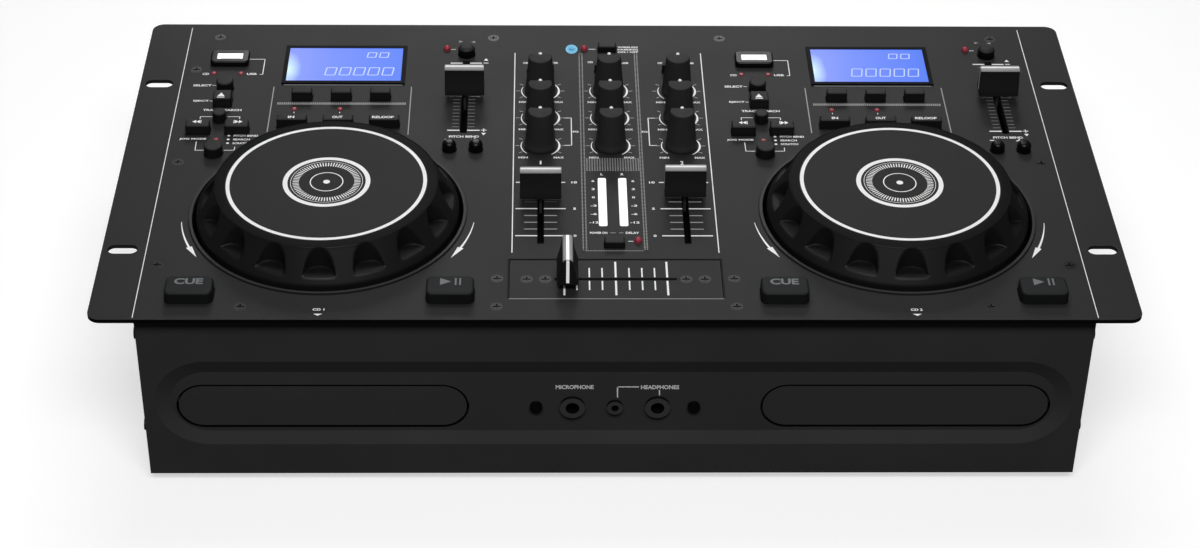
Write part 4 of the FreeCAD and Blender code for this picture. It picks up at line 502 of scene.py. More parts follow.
def printDeck(side, shift):
    white, grey = newPrint(panelPlane), newPrint(panelPlane)
    drawMarks(white, deckMarks["white"], shift)
    drawMarks(grey, deckMarks["grey"], shift)
    # turning arrows beside the wheel
    cx, cy = deckPlan["middle"] + shift, deckPlan["wheelY"]
    for radius, start, end, tip, way in deckMarks["arrows"]:
        addArc(white, cx, cy, radius, start, end, *deckMarks["arrowWide"])
        corners = [(cx + reach * cos(angle), cy + reach * sin(angle)) for reach, angle in (
            (radius, radians(tip)), (radius + deckMarks["arrowHalf"], radians(end)),
            (radius - deckMarks["arrowHalf"], radians(end)))]
        addShape(white, corners[::-1] if way > 0 else corners)
    number = deckMarks["number"]
    drawMarks(white, {"words": ((number[side], *number["place"]),)}, shift)
    layPrint(white, "deckPrint_" + side, "ink")
    layPrint(grey, "deckTicks_" + side, "greyInk")
    layMarks(panelPlane, deckMarks["soft"], shift, "deckLines_" + side, "softInk")


for deckSide, deckShift in decks.items():
    printDeck(deckSide, deckShift)
print("deck lettering laid")


# mixer lettering: knob scales, fader scales, meter frame
mixerMarks = {
    "white": {
        "words": (
            ("CD", -44.2, -41.4, 91.7, 1.7), ("USB", -30.0, -26.0, 91.8, 1.7), ("CD", -10.4, -7.6, 92.6, 1.7),
            ("USB", 6.9, 10.9, 91.8, 1.7), ("CD", 26.3, 29.1, 91.85, 1.7), ("USB", 41.2, 45.2, 91.85, 1.7),
            ("EQ", -18.9, -15.9, 26.1, 1.7), ("EQ", 15.9, 18.9, 26.1, 1.7),
            ("WIRELESS", 5.6, 16.4, 107.6, 1.6), ("PAIRING", 5.6, 16.4, 105.2, 1.6),
            ("ON / OFF", 5.6, 16.4, 102.8, 1.6), ("L", -5.6, -4.4, -12.0, 1.8), ("R", 4.4, 5.8, -12.0, 1.8),
            ("POWER ON", -11.5, -3.2, -61.7, 1.7), ("DELAY", 5.6, 12.0, -61.7, 1.7),
            ("1", -35.42, -34.58, -1.8, 3.1), ("2", 34.2, 35.8, -1.8, 3.1),
        ),
        "lines": (
            (0.5, (-23.0, 38.8), (-19.5, 38.8), (-19.5, 13.7), (-23.0, 13.7)),  # brackets of the tone knobs
            (0.5, (23.0, 38.8), (19.5, 38.8), (19.5, 13.7), (23.0, 13.7)),
            (0.5, (-48.5, 101.4), (-48.5, -77.6)), (0.5, (49.2, 101.4), (49.2, -77.6)),  # beside the channels
            (0.45, (-9.5, 105.6), (-6.2, 105.6)), (0.4, (6.7, -68.6), (8.8, -68.6)),
        ),
    },
    "grey": {
        "dots": (
            *((x, 101.0, x, -76.3, 1.2, 0.62) for x in (-14.8, -13.3, 14.3, 15.5)),
            (-14.8, -76.3, 15.5, -76.3, 1.2, 0.62), (-14.8, 101.0, -13.3, 101.0, 0.8, 0.6),
        ),
        "grids": ((-12.1, 2.0, 21, 12, 1.275, 0.98, 0.32, 0.25),),
        "lines": ((0.4, (-1.6, -61.7), (0.6, -61.7)), (0.4, (2.6, -61.7), (4.2, -61.7))),
    },
    # start and end angles, start and end widths of a knob's arcs: thick at the loud side
    "knobArcs": ((158, 190, 0.3, 0.6), (190, 226, 0.6, 0.35), (42, -12, 0.35, 1.15), (-12, -55, 1.15, 0.35)),
    "knobs": {"columns": (-35.2, -0.1, 35.0), "rows": (64.4, 38.9, 13.4), "radius": 9.6,
              "ticks": (0, 32, -32, 180, 148, 212), "tickFrom": 10.6, "tickTo": 12.2, "tickWide": 0.45,
              "ends": (("MIN", -10.9, -6.2), ("MAX", 6.6, 11.8)), "endsBelow": 10.7, "endsTall": 1.7},
    "meter": {"marks": ("6", "3", "0", "-3", "-6", "-12"), "y": -17.9, "step": 7.04, "columns": (-9.4, 10.2),
              "letterHalf": 0.75, "tall": 1.7},
    "channels": {"rows": (-64.1, -58.6, -53.0, -47.4, -41.6, -35.8, -30.2, -24.6, -19.1), "from": 2.0,
                 "long": (11.7, 0.8), "short": (7.6, 0.62), "sides": ((-35.0, -18.6), (35.0, 19.5)),
                 "numbers": ((-64.1, "0"), (-41.6, "5"), (-19.1, "10")), "letterHalf": 0.7, "tall": 1.8},
    "wirelessDisc": {"discs": ((-18.7, 105.6, 3.1, 4.5, 40),)},
    "wirelessCentre": {"discs": ((-18.7, 105.6, 2.5, 3.8, 40),)},
}
plateMarks = {
    "columns": (-24.0, -18.2, -12.3, -6.3, 0.0, 6.3, 12.3, 18.2, 24.0), "marked": (-24.0, 0.0, 24.0),
    "long": (-85.2, -110.5, 0.95), "short": (-90.0, -106.6, 0.7), "slot": (-96.6, -100.2),
    # painted shadow lines round the plate and round each wheel's lip
    "seam": {"boxes": ((-50.5, -113.6, -49.6, -82.5), (49.6, -113.6, 50.4, -82.5), (-49.6, -83.1, 49.6, -82.5)),
             "rings": tuple((deckPlan["middle"] + x, deckPlan["wheelY"], 66.45, 66.95, 160) for x in decks.values())},
    # a painted highlight along the plate's front edge
    "edge": {"boxes": ((-49.6, -114.3, 49.6, -113.8),)},
}
earMarks = {"lines": ((0.4, (-220.4, 126.0), (-220.4, -128.4)), (0.4, (220.4, 126.0), (220.4, -128.4)))}
frontMarks = {
    "words": (("MICROPHONE", -27.9, -10.1, 55.6, 2.4), ("HEADPHONES", 12.0, 29.9, 55.5, 2.4)),
    "lines": ((0.6, (1.1, 49.6), (1.0, 55.7), (10.8, 55.7)), (0.6, (20.7, 53.6), (20.8, 51.0))),
}


def printKnobScale(white, grey, x, y):
    knobs = mixerMarks["knobs"]
    for arc in mixerMarks["knobArcs"]:
        addArc(white, x, y, knobs["radius"], *arc)
    for angle in knobs["ticks"]:
        addTick(grey, x, y, knobs["tickFrom"], knobs["tickTo"], radians(angle), knobs["tickWide"])
    for text, x0, x1 in knobs["ends"]:
        addWords(white, text, x + x0, x + x1, y - knobs["endsBelow"], knobs["endsTall"])


def printMixer():
    white, grey = newPrint(panelPlane), newPrint(panelPlane)
    drawMarks(white, mixerMarks["white"])
    drawMarks(grey, mixerMarks["grey"])
    for x in mixerMarks["knobs"]["columns"]:
        for y in mixerMarks["knobs"]["rows"]:
            printKnobScale(white, grey, x, y)
    meter = mixerMarks["meter"]
    for index, mark in enumerate(meter["marks"]):
        half = meter["letterHalf"] * len(mark)
        for x in meter["columns"]:
            addWords(white, mark, x - half, x + half, meter["y"] - index * meter["step"], meter["tall"])
    channels = mixerMarks["channels"]
    for x, numbersAt in channels["sides"]:
        for index, y in enumerate(channels["rows"]):
            # every fourth tick is long and white
            (outer, wide), sheet = (channels["long"], white) if index % 4 == 0 else (channels["short"], grey)
            for side in (-1, 1):
                addLine(sheet, [(x + side * channels["from"], y), (x + side * outer, y)], wide)
        for y, text in channels["numbers"]:
            half = channels["letterHalf"] * len(text)
            addWords(white, text, numbersAt - half, numbersAt + half, y, channels["tall"])
    layPrint(white, "mixerPrint", "ink")
    layPrint(grey, "mixerTicks", "greyInk")


def printCrossfader():
    # the scale on its own plate, broken by the slot
    scale = newPrint(levelPlane(heights["plate"]))
    rearOfSlot, frontOfSlot = plateMarks["slot"]
    for x in plateMarks["columns"]:
        rear, front, wide = plateMarks["long"] if x in plateMarks["marked"] else plateMarks["short"]
        addLine(scale, [(x, rear), (x, rearOfSlot)], wide)
        addLine(scale, [(x, frontOfSlot), (x, front)], wide)
    layPrint(scale, "crossfaderPrint", "ink")


def recessPlane(x, z):
    return (x, heights["recess"] - heights["ink"], z)


printMixer()
printCrossfader()
layMarks(panelPlane, earMarks, 0, "earLines", "ink")
# a plain blue disc, its middle one ink higher
layMarks(panelPlane, mixerMarks["wirelessDisc"], 0, "wirelessDisc", "blueInk")
centrePlane = levelPlane(heights["panel"] + heights["ink"])
layMarks(centrePlane, mixerMarks["wirelessCentre"], 0, "wirelessCentre", "deepBlue")
# painted shadow lines round the plate and the wheels, and a painted highlight along the plate's front edge
layMarks(panelPlane, plateMarks["seam"], 0, "plateSeam", "darkInk")
layMarks(panelPlane, plateMarks["edge"], 0, "plateEdge", "softInk")
layMarks(recessPlane, frontMarks, 0, "frontPrint", "ink", "chassis", "case_sheet")
print("mixer, plate and front lettering laid")


# round pieces: rings of points, walls between them
def ringAt(cx, cy, level, radii):
    # points round an axis, one for each radius, counter-clockwise from +X
    turn = tau / len(radii)
    return [(cx + r * cos(i * turn), cy + r * sin(i * turn), level) for i, r in enumerate(radii)]


def wallFaces(rings, count):
    return [(ring * count + i, ring * count + (i + 1) % count, (ring + 1) * count + (i + 1) % count,
             (ring + 1) * count + i) for ring in range(rings - 1) for i in range(count)]


def endFaces(rings, count):
    return [tuple(range((rings - 1) * count, rings * count)), tuple(reversed(range(count)))]


# knobs: flared foot, ribbed wall, a slanted flat at the back and a round dot on its edge
knobSizes = {
    "foot": 8.0, "body": 7.3, "top": 6.0, "footEdge": 2.0, "flareTop": 5.4, "rise": 20.8, "edge": 0.45,
    "flatTop": 2.75, "flatFoot": 6.2, "flatFrom": 2.0, "ribs": 30, "ribDepth": 0.16, "ribFade": (2.0, 1.2),
    "levels": (0.6, 2.0, 2.01, 2.8, 3.6, 4.5, 5.4, 7.0, 9.0, 12.0, 15.0, 18.0, 19.4, 20.35), "steps": 180,
    "rounding": (0.35, 0.75, 1.0), "smooth": 38,
    "shaft": 3.0, "shaftEnd": 88.0, "shaftTop": 3.0, "shaftSteps": 32, "shaftSmooth": 40,
    "dot": 0.95, "dotRise": 0.6, "dotSunk": 0.1, "dotBack": 0.05, "dotRings": (0.0, 0.45, 0.75, 0.93),
    "dotSteps": 24, "dotSmooth": 60,
}
knobNames = {
    -35.2: ("gain_knob_left", "treble_knob_left", "bass_knob_left"),
    0.0: ("master_knob", "cue_mix_knob", "headphone_knob"),
    35.2: ("gain_knob_right", "treble_knob_right", "bass_knob_right"),
}


def knobRadius(level, angle):
    # distance from the axis to the wall at a height and an angle
    k = knobSizes
    if level <= k["flareTop"]:
        share = max(0.0, (level - k["footEdge"]) / (k["flareTop"] - k["footEdge"]))
        radius = k["foot"] + (k["body"] - k["foot"]) * sin(share * pi / 2)
    else:
        share = (level - k["flareTop"]) / (k["rise"] - k["flareTop"])
        radius = k["body"] + (k["top"] - k["body"]) * share
        rib = max(0.0, cos(k["ribs"] * angle)) ** 2 * k["ribDepth"]
        fadeLow, fadeHigh = k["ribFade"]
        radius -= rib * min(1.0, (level - k["flareTop"]) / fadeLow, (k["rise"] - level) / fadeHigh)
    share = max(0.0, min(1.0, (level - k["flatFrom"]) / (k["rise"] - k["flatFrom"])))
    flatAt = k["flatFoot"] + (k["flatTop"] - k["flatFoot"]) * share
    if radius * sin(angle) > flatAt and level > k["flatFrom"]:
        radius = flatAt / sin(angle)
    return radius


def buildKnob(name, cx, cy):
    k = knobSizes
    steps, base, body = k["steps"], heights["panel"], name + "_body"
    angles = [step * tau / steps for step in range(steps)]
    vertices = []
    for level in k["levels"]:
        vertices += ringAt(cx, cy, base + level, [knobRadius(level, angle) for angle in angles])
    for share in k["rounding"]:
        inset = k["edge"] * (1 - cos(share * pi / 2))
        level = base + k["rise"] - k["edge"] * (1 - sin(share * pi / 2))
        vertices += ringAt(cx, cy, level, [knobRadius(k["rise"], angle) - inset for angle in angles])
    rings = len(k["levels"]) + len(k["rounding"])
    faces = wallFaces(rings, steps)
    index = [1 if number // steps > len(k["levels"]) else 0 for number in range(len(faces))]
    faces += endFaces(rings, steps)
    index += [1, 0]
    piece = addPiece("cap_" + name, vertices, faces, ["knob", "knobTop"], body, "knob_plastic", index, k["smooth"])
    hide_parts(name)
    count = k["shaftSteps"]
    shaft = [point for level in (k["shaftEnd"], base + k["shaftTop"])
             for point in ringAt(cx, cy, level, [k["shaft"]] * count)]
    addPiece("shaft_" + name, shaft, wallFaces(2, count) + endFaces(2, count), ["works"], body, "knob_plastic", None,
             k["shaftSmooth"])
    # a small domed dot on the edge of the flat
    count, dot = k["dotSteps"], []
    for share in k["dotRings"]:
        around = k["dot"] * cos(share * pi / 2)
        level = base + k["rise"] - k["dotSunk"] + (k["dotRise"] + k["dotSunk"]) * sin(share * pi / 2)
        dot += ringAt(cx, cy + k["flatTop"] + k["dotBack"], level, [around] * count)
    rings = len(k["dotRings"])
    faces = wallFaces(rings, count) + endFaces(rings, count)[:1]
    addPiece("dot_" + name, dot, faces, ["ink"], body, "knob_plastic", None, k["dotSmooth"])


for knobX, column in knobNames.items():
    for knobName, knobY in zip(column, mixerMarks["knobs"]["rows"]):
        buildKnob(knobName, knobX, knobY)
print("knobs made")


# jog wheels: sloping rim with finger hollows above a shelf, flat top with rings
jogSizes = {
    "ledge": 2.2, "base": 62.9, "top": 53.6, "rise": 17.6, "bevel": 0.6, "steps": 640, "smooth": 50,
    "hollows": 16, "firstHollow": -90.0, "scoop": 7.3, "scoopAt": 60.4, "soften": 0.35, "shelf": 6.2, "shelfHalf": 0.7,
    "levels": (-2.5, 0.5, 1.8, 2.2, 3.2, 4.4, 5.5, 5.7, 5.9, 6.1, 6.3, 6.5, 6.7, 6.9, 7.6, 8.8, 10.0, 11.2, 12.4,
               13.6, 14.8, 15.6, 16.4, 17.0),
    # radius and depth below the top, from the rim to the middle; the first rings follow the hollows
    "crown": ((53.42, 0.18), (53.0, 0.0), (52.75, 0.0), (52.6, 0.12), (52.3, 0.02), (48.25, 0.0), (45.6, 0.0),
              (30.0, 0.0), (12.0, 0.0)),
    "rimRings": 2, "rimInset": 0.05, "bandRings": 5, "floorFrom": 4.0, "floorSlope": 1.2,
    "shaft": 4.0, "collar": 8.0, "collarHigh": 1.5, "shaftTop": -2.5, "shaftSteps": 48, "shaftSmooth": 40,
}
wheelMarks = {
    "rings": tuple((0, deckPlan["wheelY"], *ring) for ring in (
        (46.0, 47.8, 160), (18.6, 20.85, 96), (17.0, 17.25, 96), (7.5, 8.0, 64))),
    "discs": ((0, deckPlan["wheelY"], 1.6, 1.6, 28),),
    "ticks": 72, "tickFrom": 13.5, "tickTo": 15.9, "tickWide": 0.55,
}


def jogRadius(level, angle):
    # the cone of the rim, cut back by the nearest hollow above its shelf
    j = jogSizes
    if level <= j["ledge"]:
        return j["base"]
    share = (level - j["ledge"]) / (j["rise"] - j["bevel"] - j["ledge"])
    cone = j["base"] + (j["top"] - j["base"]) * min(1.0, share)
    pitch = tau / j["hollows"]
    away = (angle - radians(j["firstHollow"]) + pitch / 2) % pitch - pitch / 2
    across = j["scoopAt"] * sin(away)
    if abs(across) >= j["scoop"]:
        return cone
    depth = cone - j["scoopAt"] * cos(away) + sqrt(j["scoop"] ** 2 - across ** 2)
    # rounded upper edges of the hollow, and a soft step up from its shelf
    depth = 0.5 * (depth + sqrt(depth * depth + j["soften"] ** 2)) if depth > -2 else 0.0
    depth = max(0.0, depth - j["soften"] * 0.5)
    rising = max(0.0, min(1.0, (level - j["shelf"] + j["shelfHalf"]) / (2 * j["shelfHalf"])))
    return cone - depth * rising * rising * (3 - 2 * rising)


def buildJog(side, shift):
    j = jogSizes
    cx, cy, base, body = deckPlan["middle"] + shift, deckPlan["wheelY"], heights["panel"], "jog_" + side
    steps, levels = j["steps"], j["levels"]
    angles = [step * tau / steps for step in range(steps)]
    vertices = []
    for level in levels:
        vertices += ringAt(cx, cy, base + level, [jogRadius(level, angle) for angle in angles])
    for ring, (widest, depth) in enumerate(j["crown"]):
        level = j["rise"] - depth
        radii = [widest] * steps
        if ring < j["rimRings"]:
            radii = [min(widest, jogRadius(level, angle) - j["rimInset"]) for angle in angles]
        vertices += ringAt(cx, cy, base + level, radii)
    rings = len(levels) + len(j["crown"])
    faces = wallFaces(rings, steps)
    index = []
    for number, (a, _, _, d) in enumerate(faces):
        ring = number // steps
        if ring >= len(levels):
            index.append(2 if ring < len(levels) + j["bandRings"] else 1)
            continue
        # the shelves of the hollows are flatter than the rim, and take painted shade, a darker tone
        outer, inner = vertices[a], vertices[d]
        drop = hypot(outer[0] - cx, outer[1] - cy) - hypot(inner[0] - cx, inner[1] - cy)
        floor = levels[ring] > j["floorFrom"] and drop > j["floorSlope"] * (inner[2] - outer[2])
        index.append(3 if floor else 0)
    faces += endFaces(rings, steps)
    index += [1, 0]
    piece = addPiece("wheel_" + side, vertices, faces, ["jogRim", "jogTop", "jogBand", "jogFloor"], body,
                     "jog_plastic", index, j["smooth"])
    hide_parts("jog_wheel_" + side)
    # shaft down to its retaining collar
    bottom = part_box("jog_wheel_" + side)[0].z / mm
    outline = ((0.01, bottom), (j["collar"], bottom), (j["collar"], bottom + j["collarHigh"]),
               (j["shaft"], bottom + j["collarHigh"]), (j["shaft"], base + j["shaftTop"]))
    count = j["shaftSteps"]
    shaft = [point for radius, level in outline for point in ringAt(cx, cy, level, [radius] * count)]
    addPiece("wheelShaft_" + side, shaft, wallFaces(len(outline), count), ["works"], body, "jog_plastic", None,
             j["shaftSmooth"])
    mark = newPrint(levelPlane(base + j["rise"]))
    drawMarks(mark, wheelMarks, cx)
    for i in range(wheelMarks["ticks"]):
        angle = i * tau / wheelMarks["ticks"]
        addTick(mark, cx, cy, wheelMarks["tickFrom"], wheelMarks["tickTo"], angle, wheelMarks["tickWide"])
    layPrint(mark, "wheelPrint_" + side, "ink", body, "jog_plastic")


for deckSide, deckShift in decks.items():
    buildJog(deckSide, deckShift)
print("jog wheels made")


# fader caps: hollow-sided, with a pale ridge and a white line
capSizes = {
    "length": 20.0, "edge": 0.5, "edgeShare": 0.3, "round": 0.6, "roundFrom": 10.0, "ridgeFrom": 16.9, "smooth": 40,
    # half width and height of one side, from the foot up
    "profile": ((5.0, 3.6), (5.0, 5.2), (4.35, 7.2), (3.75, 9.6), (3.15, 12.2), (2.75, 14.4), (2.5, 16.2), (2.4, 16.9),
                (2.1, 17.7), (1.7, 18.0)),
    "leverLong": 4.0, "leverWide": 1.2, "leverTop": 4.6,
    # distance in from the cap's end and height of the white line's points, from an end to the ridge
    "line": ((-0.04, 4.8), (-0.04, 17.6), (0.4, 18.05)), "lineHalf": 0.7,
}
capPlaces = {
    "pitch_left": ("pitch_fader_left", "pitch_left", -73.9, 59.3, False),
    "channel_left": ("channel_fader_left", "channel_left", -35.0, -33.8, False),
    "pitch_right": ("pitch_fader_right", "pitch_right", 200.1, 59.3, False),
    "channel_right": ("channel_fader_right", "channel_right", 35.0, -31.8, False),
    "crossfader": ("crossfader", "crossfader_cap", -22.5, -98.4, True),
}


def buildCap(name, node, body, cx, cy, turned):
    # a cap across its slot; turned caps slide along X
    c = capSizes
    base, half = heights["panel"], c["length"] / 2

    def place(across, along, level):
        x, y = (across, along) if turned else (along, across)
        return (cx + x, cy + y, base + level)

    def facing(faces):
        return [face[::-1] for face in faces] if turned else faces

    outline = [*c["profile"], *((-w, z) for w, z in reversed(c["profile"]))]
    near = c["edge"] * c["edgeShare"]
    stations = ((-half, c["edge"]), (-half + near, near), (-half + c["edge"], 0.0),
                (half - c["edge"], 0.0), (half - near, near), (half, c["edge"]))
    vertices = []
    for along, inset in stations:
        inset *= c["round"]
        for w, z in outline:
            across = copysign(abs(w) - inset, w)
            vertices.append(place(across, along, z - (inset if z > c["roundFrom"] else 0)))
    count = len(outline)
    faces = wallFaces(len(stations), count) + endFaces(len(stations), count)
    ridge = [int(min(z, outline[(i + 1) % count][1]) >= c["ridgeFrom"]) for i, (_, z) in enumerate(outline)]
    piece = addPiece("cap_" + name, vertices, facing(faces), ["capSide", "capRidge"], body, "fader_plastic",
                     ridge * (len(stations) - 1) + [0, 0], c["smooth"])
    # lever under the cap
    low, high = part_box(node)[0].z / mm, base + c["leverTop"]
    halfX, halfY = (c["leverLong"] / 2, c["leverWide"] / 2) if turned else (c["leverWide"] / 2, c["leverLong"] / 2)
    lever = [(cx + sx * halfX, cy + sy * halfY, level)
             for level in (low, high) for sx, sy in ((-1, -1), (1, -1), (1, 1), (-1, 1))]
    addPiece("lever_" + name, lever, wallFaces(2, 4) + endFaces(2, 4), ["works"], body, "fader_plastic")
    # white line over the ridge and down both ends; on the crossfader it glows as a painted highlight
    path = [(-half + inward, level) for inward, level in c["line"]]
    path += [(-along, level) for along, level in reversed(path)]
    stripe = [place(w, along, level) for along, level in path for w in (-c["lineHalf"], c["lineHalf"])]
    faces = [(a, a + 2, a + 3, a + 1) for a in range(0, len(stripe) - 2, 2)]
    addPiece("line_" + name, stripe, facing(faces), ["lineInk" if turned else "ink"], body, "fader_plastic")
    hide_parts(node)


for capName, capPlace in capPlaces.items():
    buildCap(capName, *capPlace)
print("fader caps made")


# CAD nodes that keep their shape
wornNodes = {
    "case_tray": "case", "rubber_feet": "rubber", "screws": "steel", "crossfader_plate": "panel",
    "jog_bearings": "black", "power_switch": "key", "disc_tray_left": "tray", "disc_tray_right": "tray",
    "source_switch_left": "key", "source_switch_middle": "key", "source_switch_right": "key",
}
for node, paint in wornNodes.items():
    wear(node, paint)

# moulded keys: paint of the sides, paint of the top; where they differ, the sides take painted shade and the top
# painted light, on one plastic
keyPaints = {
    ("key", "keyTop"): ("select_key", "eject_key", "jog_mode_key", "search_keys", "display_keys", "loop_keys"),
    ("domeKey", "keyTop"): ("pitch_key",), ("domeKey", "domeKey"): ("bend_keys",),
    ("rubberSide", "rubberKey"): ("cue_key", "play_key"),
}
keyTopFrom = 0.45  # how far up a face of the top points


def dressKey(node, side, top):
    dressCopy(node, "cap_" + node, [side, top],
              lambda low, high, middle, face: top if face.normal.z > keyTopFrom else side)


for node in ("wireless_key", "meter_key"):
    dressKey(node, "key", "keyTop")
for deckSide in decks:
    for keyPaint, nodes in keyPaints.items():
        for node in nodes:
            dressKey(node + "_" + deckSide, *keyPaint)

# where a sheet's outer edge, its raised lips and its cuts lie; the edge and the cuts take painted shade, the lips a
# painted highlight
panelParts = {"edgeX": 240.9, "edgeY": 123.5, "lipAbove": 0.5}
frontParts = {"cutX": 216, "cutZ": (20, 76)}


def choosePanel(low, high, middle, face):
    # the sheet's outer edge takes painted shade, near black, and the lip round each wheel a painted highlight, paler
    # than the sheet
    if abs(face.normal.z) < 0.5:
        return "edge" if abs(middle.x) > panelParts["edgeX"] or abs(middle.y) > panelParts["edgeY"] else "panel"
    return "lipEdge" if middle.z > heights["panel"] + panelParts["lipAbove"] else "panel"


def chooseFront(low, high, middle, face):
    # the cut edges of the door and socket holes take painted shade, near black, where the gaps are dark
    cutLow, cutHigh = frontParts["cutZ"]
    cut = abs(middle.x) < frontParts["cutX"] and cutLow < middle.z < cutHigh
    return "black" if abs(face.normal.y) < 0.3 and cut else "case"


def chooseDoor(low, high, middle, face):
    # the door's side faces take painted shade, near black, like the gap round it
    return "black" if abs(face.normal.y) < 0.5 else "case"


dressCopy("front_panel", "frontSheet", ["case", "black"], chooseFront, 12)
for deckSide in decks:
    dressCopy("tray_door_" + deckSide, "trayFront_" + deckSide, ["case", "black"], chooseDoor)
dressCopy("top_panel", "topSheet", ["panel", "edge", "lipEdge"], choosePanel)
print("sheets and keys dressed")

# sizes that tell the small solids of one node apart
displayParts = {
    "frame": (55, 30), "glassWidest": 62, "light": 4.5, "dome": 3.2, "wireless": (-18.7, 2.0),
    "meterLong": 35, "meterAbove": 94.6, "meterX": (2.9, 7.1),
    "glassLeft": -29.65, "glassWide": 59.3, "glassFront": 72.55, "glassDeep": 32.5,
}
socketParts = {"portWide": 18, "shellWide": 12.8, "jackDepth": 0.2, "sleeveWide": 7.5, "rearFace": 121.0,
               "flangeRear": 123.2, "rowsMeet": 62}


def chooseDisplay(low, high, middle, face):
    size, d = high - low, displayParts
    if size.x > d["frame"][0] and size.y > d["frame"][1]:
        upward = face.normal.z > 0.9 and all(abs(v.co.z / mm - high.z) < 0.05 for v in face.verts)
        return "glass" if size.x < d["glassWidest"] and upward else "frame"
    if max(size.x, size.y) < d["light"]:
        if abs(middle.x - d["wireless"][0]) < d["wireless"][1]:
            return "blueLight"
        return "domeLight" if size.x > d["dome"] else "redLight"
    if size.y > d["meterLong"]:
        bars = middle.z > d["meterAbove"] and d["meterX"][0] < abs(middle.x) < d["meterX"][1]
        return "meter" if bars else "black"
    return "frame"


def stretchAcross(piece):
    # a left-to-right coordinate over each display, for the glass's fading light
    d = displayParts
    layer = piece.data.uv_layers.new(name="across")
    for loop in piece.data.loops:
        point = piece.data.vertices[loop.vertex_index].co / mm
        middle = deckPlan["middle"] + decks["left" if point.x < 0 else "right"]
        layer.data[loop.index].uv = ((point.x - middle - d["glassLeft"]) / d["glassWide"],
                                     (point.y - d["glassFront"]) / d["glassDeep"])


def bySize(axis, limit, larger, smaller):
    # solids longer than the limit along one axis take one paint, the others the other
    return lambda low, high, middle, face: larger if (high - low)[axis] > limit else smaller


# the shell and the tongue glow: painted glare
def choosePort(low, high, middle, face):
    wide = high.x - low.x
    if wide > socketParts["portWide"]:
        return "gloss"
    return "usbMetal" if wide > socketParts["shellWide"] else "usbTongue"


def chooseJack(low, high, middle, face):
    if middle.y > heights["recess"] - socketParts["jackDepth"]:
        return "black"
    # the nut's front faces are painted lighter: painted light in place of reflections
    return "nut" if face.normal.y < -0.9 else "darkMetal"


def chooseRear(low, high, middle, face):
    # upper row white, lower row red, bright metal sleeves; the switch's frame is black
    if middle.y < socketParts["rearFace"] or middle.x < 0:
        return "black"
    if high.x - low.x < socketParts["sleeveWide"] or middle.y > socketParts["flangeRear"]:
        return "bright"
    return "white" if (low.z + high.z) / 2 > socketParts["rowsMeet"] else "red"


stretchAcross(dressCopy("displays_and_lights", "displayPieces",
                        ["frame", "glass", "redLight", "domeLight", "blueLight", "meter", "black"], chooseDisplay))
dressCopy("usb_ports", "usbPieces", ["gloss", "usbMetal", "usbTongue"], choosePort)
dressCopy("front_jacks", "jackPieces", ["darkMetal", "black", "nut"], chooseJack)
dressCopy("rear_sockets", "rearPieces", ["black", "white", "red", "bright"], chooseRear)
# bright pins in a black inlet; green boards with dark parts; metal drives with dark parts
dressCopy("mains_inlet", "inletPieces", ["black", "bright"], bySize(0, 6, "black", "bright"))
dressCopy("circuit_boards", "boardPieces", ["board", "black"], bySize(2, 2.2, "black", "board"))
dressCopy("disc_drives", "drivePieces", ["works", "black"], bySize(0, 100, "works", "black"))
print("displays, sockets and inside dressed")

# noughts behind the display glass: count, first place, step, width, height and stroke of each row
digitRows = ((2, (-125.9, 95.9), 6.4, 4.4, 4.6, 0.55), (5, (-147.0, 78.4), 7.4, 5.2, 7.2, 0.6))
digitLook = {"lean": 0.12, "gap": 0.55, "lift": 0.01}
# a painted highlight along each display frame's front edge
displayEdgeHighlight = {"boxes": ((-167.4, 69.4, -106.4, 70.05),)}


def addNought(sheet, x, y, wide, tall, stroke):
    # six slanted bars with gaps between them
    corners = ((0, tall), (wide, tall), (wide, tall / 2), (wide, 0), (0, 0), (0, tall / 2), (0, tall))
    for (ax, ay), (bx, by) in zip(corners, corners[1:]):
        share = stroke * digitLook["gap"] / hypot(bx - ax, by - ay)
        gapX, gapY = (bx - ax) * share, (by - ay) * share
        ends = ((ax + gapX, ay + gapY), (bx - gapX, by - gapY))
        addLine(sheet, [(x + px + py * digitLook["lean"], y + py) for px, py in ends], stroke)


def buildDigits(side, shift):
    sheet = newPrint(levelPlane(heights["glass"] + digitLook["lift"]))
    for count, (x, y), step, wide, tall, stroke in digitRows:
        for i in range(count):
            addNought(sheet, x + i * step + shift, y, wide, tall, stroke)
    layPrint(sheet, "digits_" + side, "digitInk", "chassis", "display_plastic")
    # a painted highlight along the frame's front edge
    layMarks(panelPlane, displayEdgeHighlight, shift, "displayEdge_" + side, "softInk", "chassis", "display_plastic")


for deckSide, deckShift in decks.items():
    buildDigits(deckSide, deckShift)

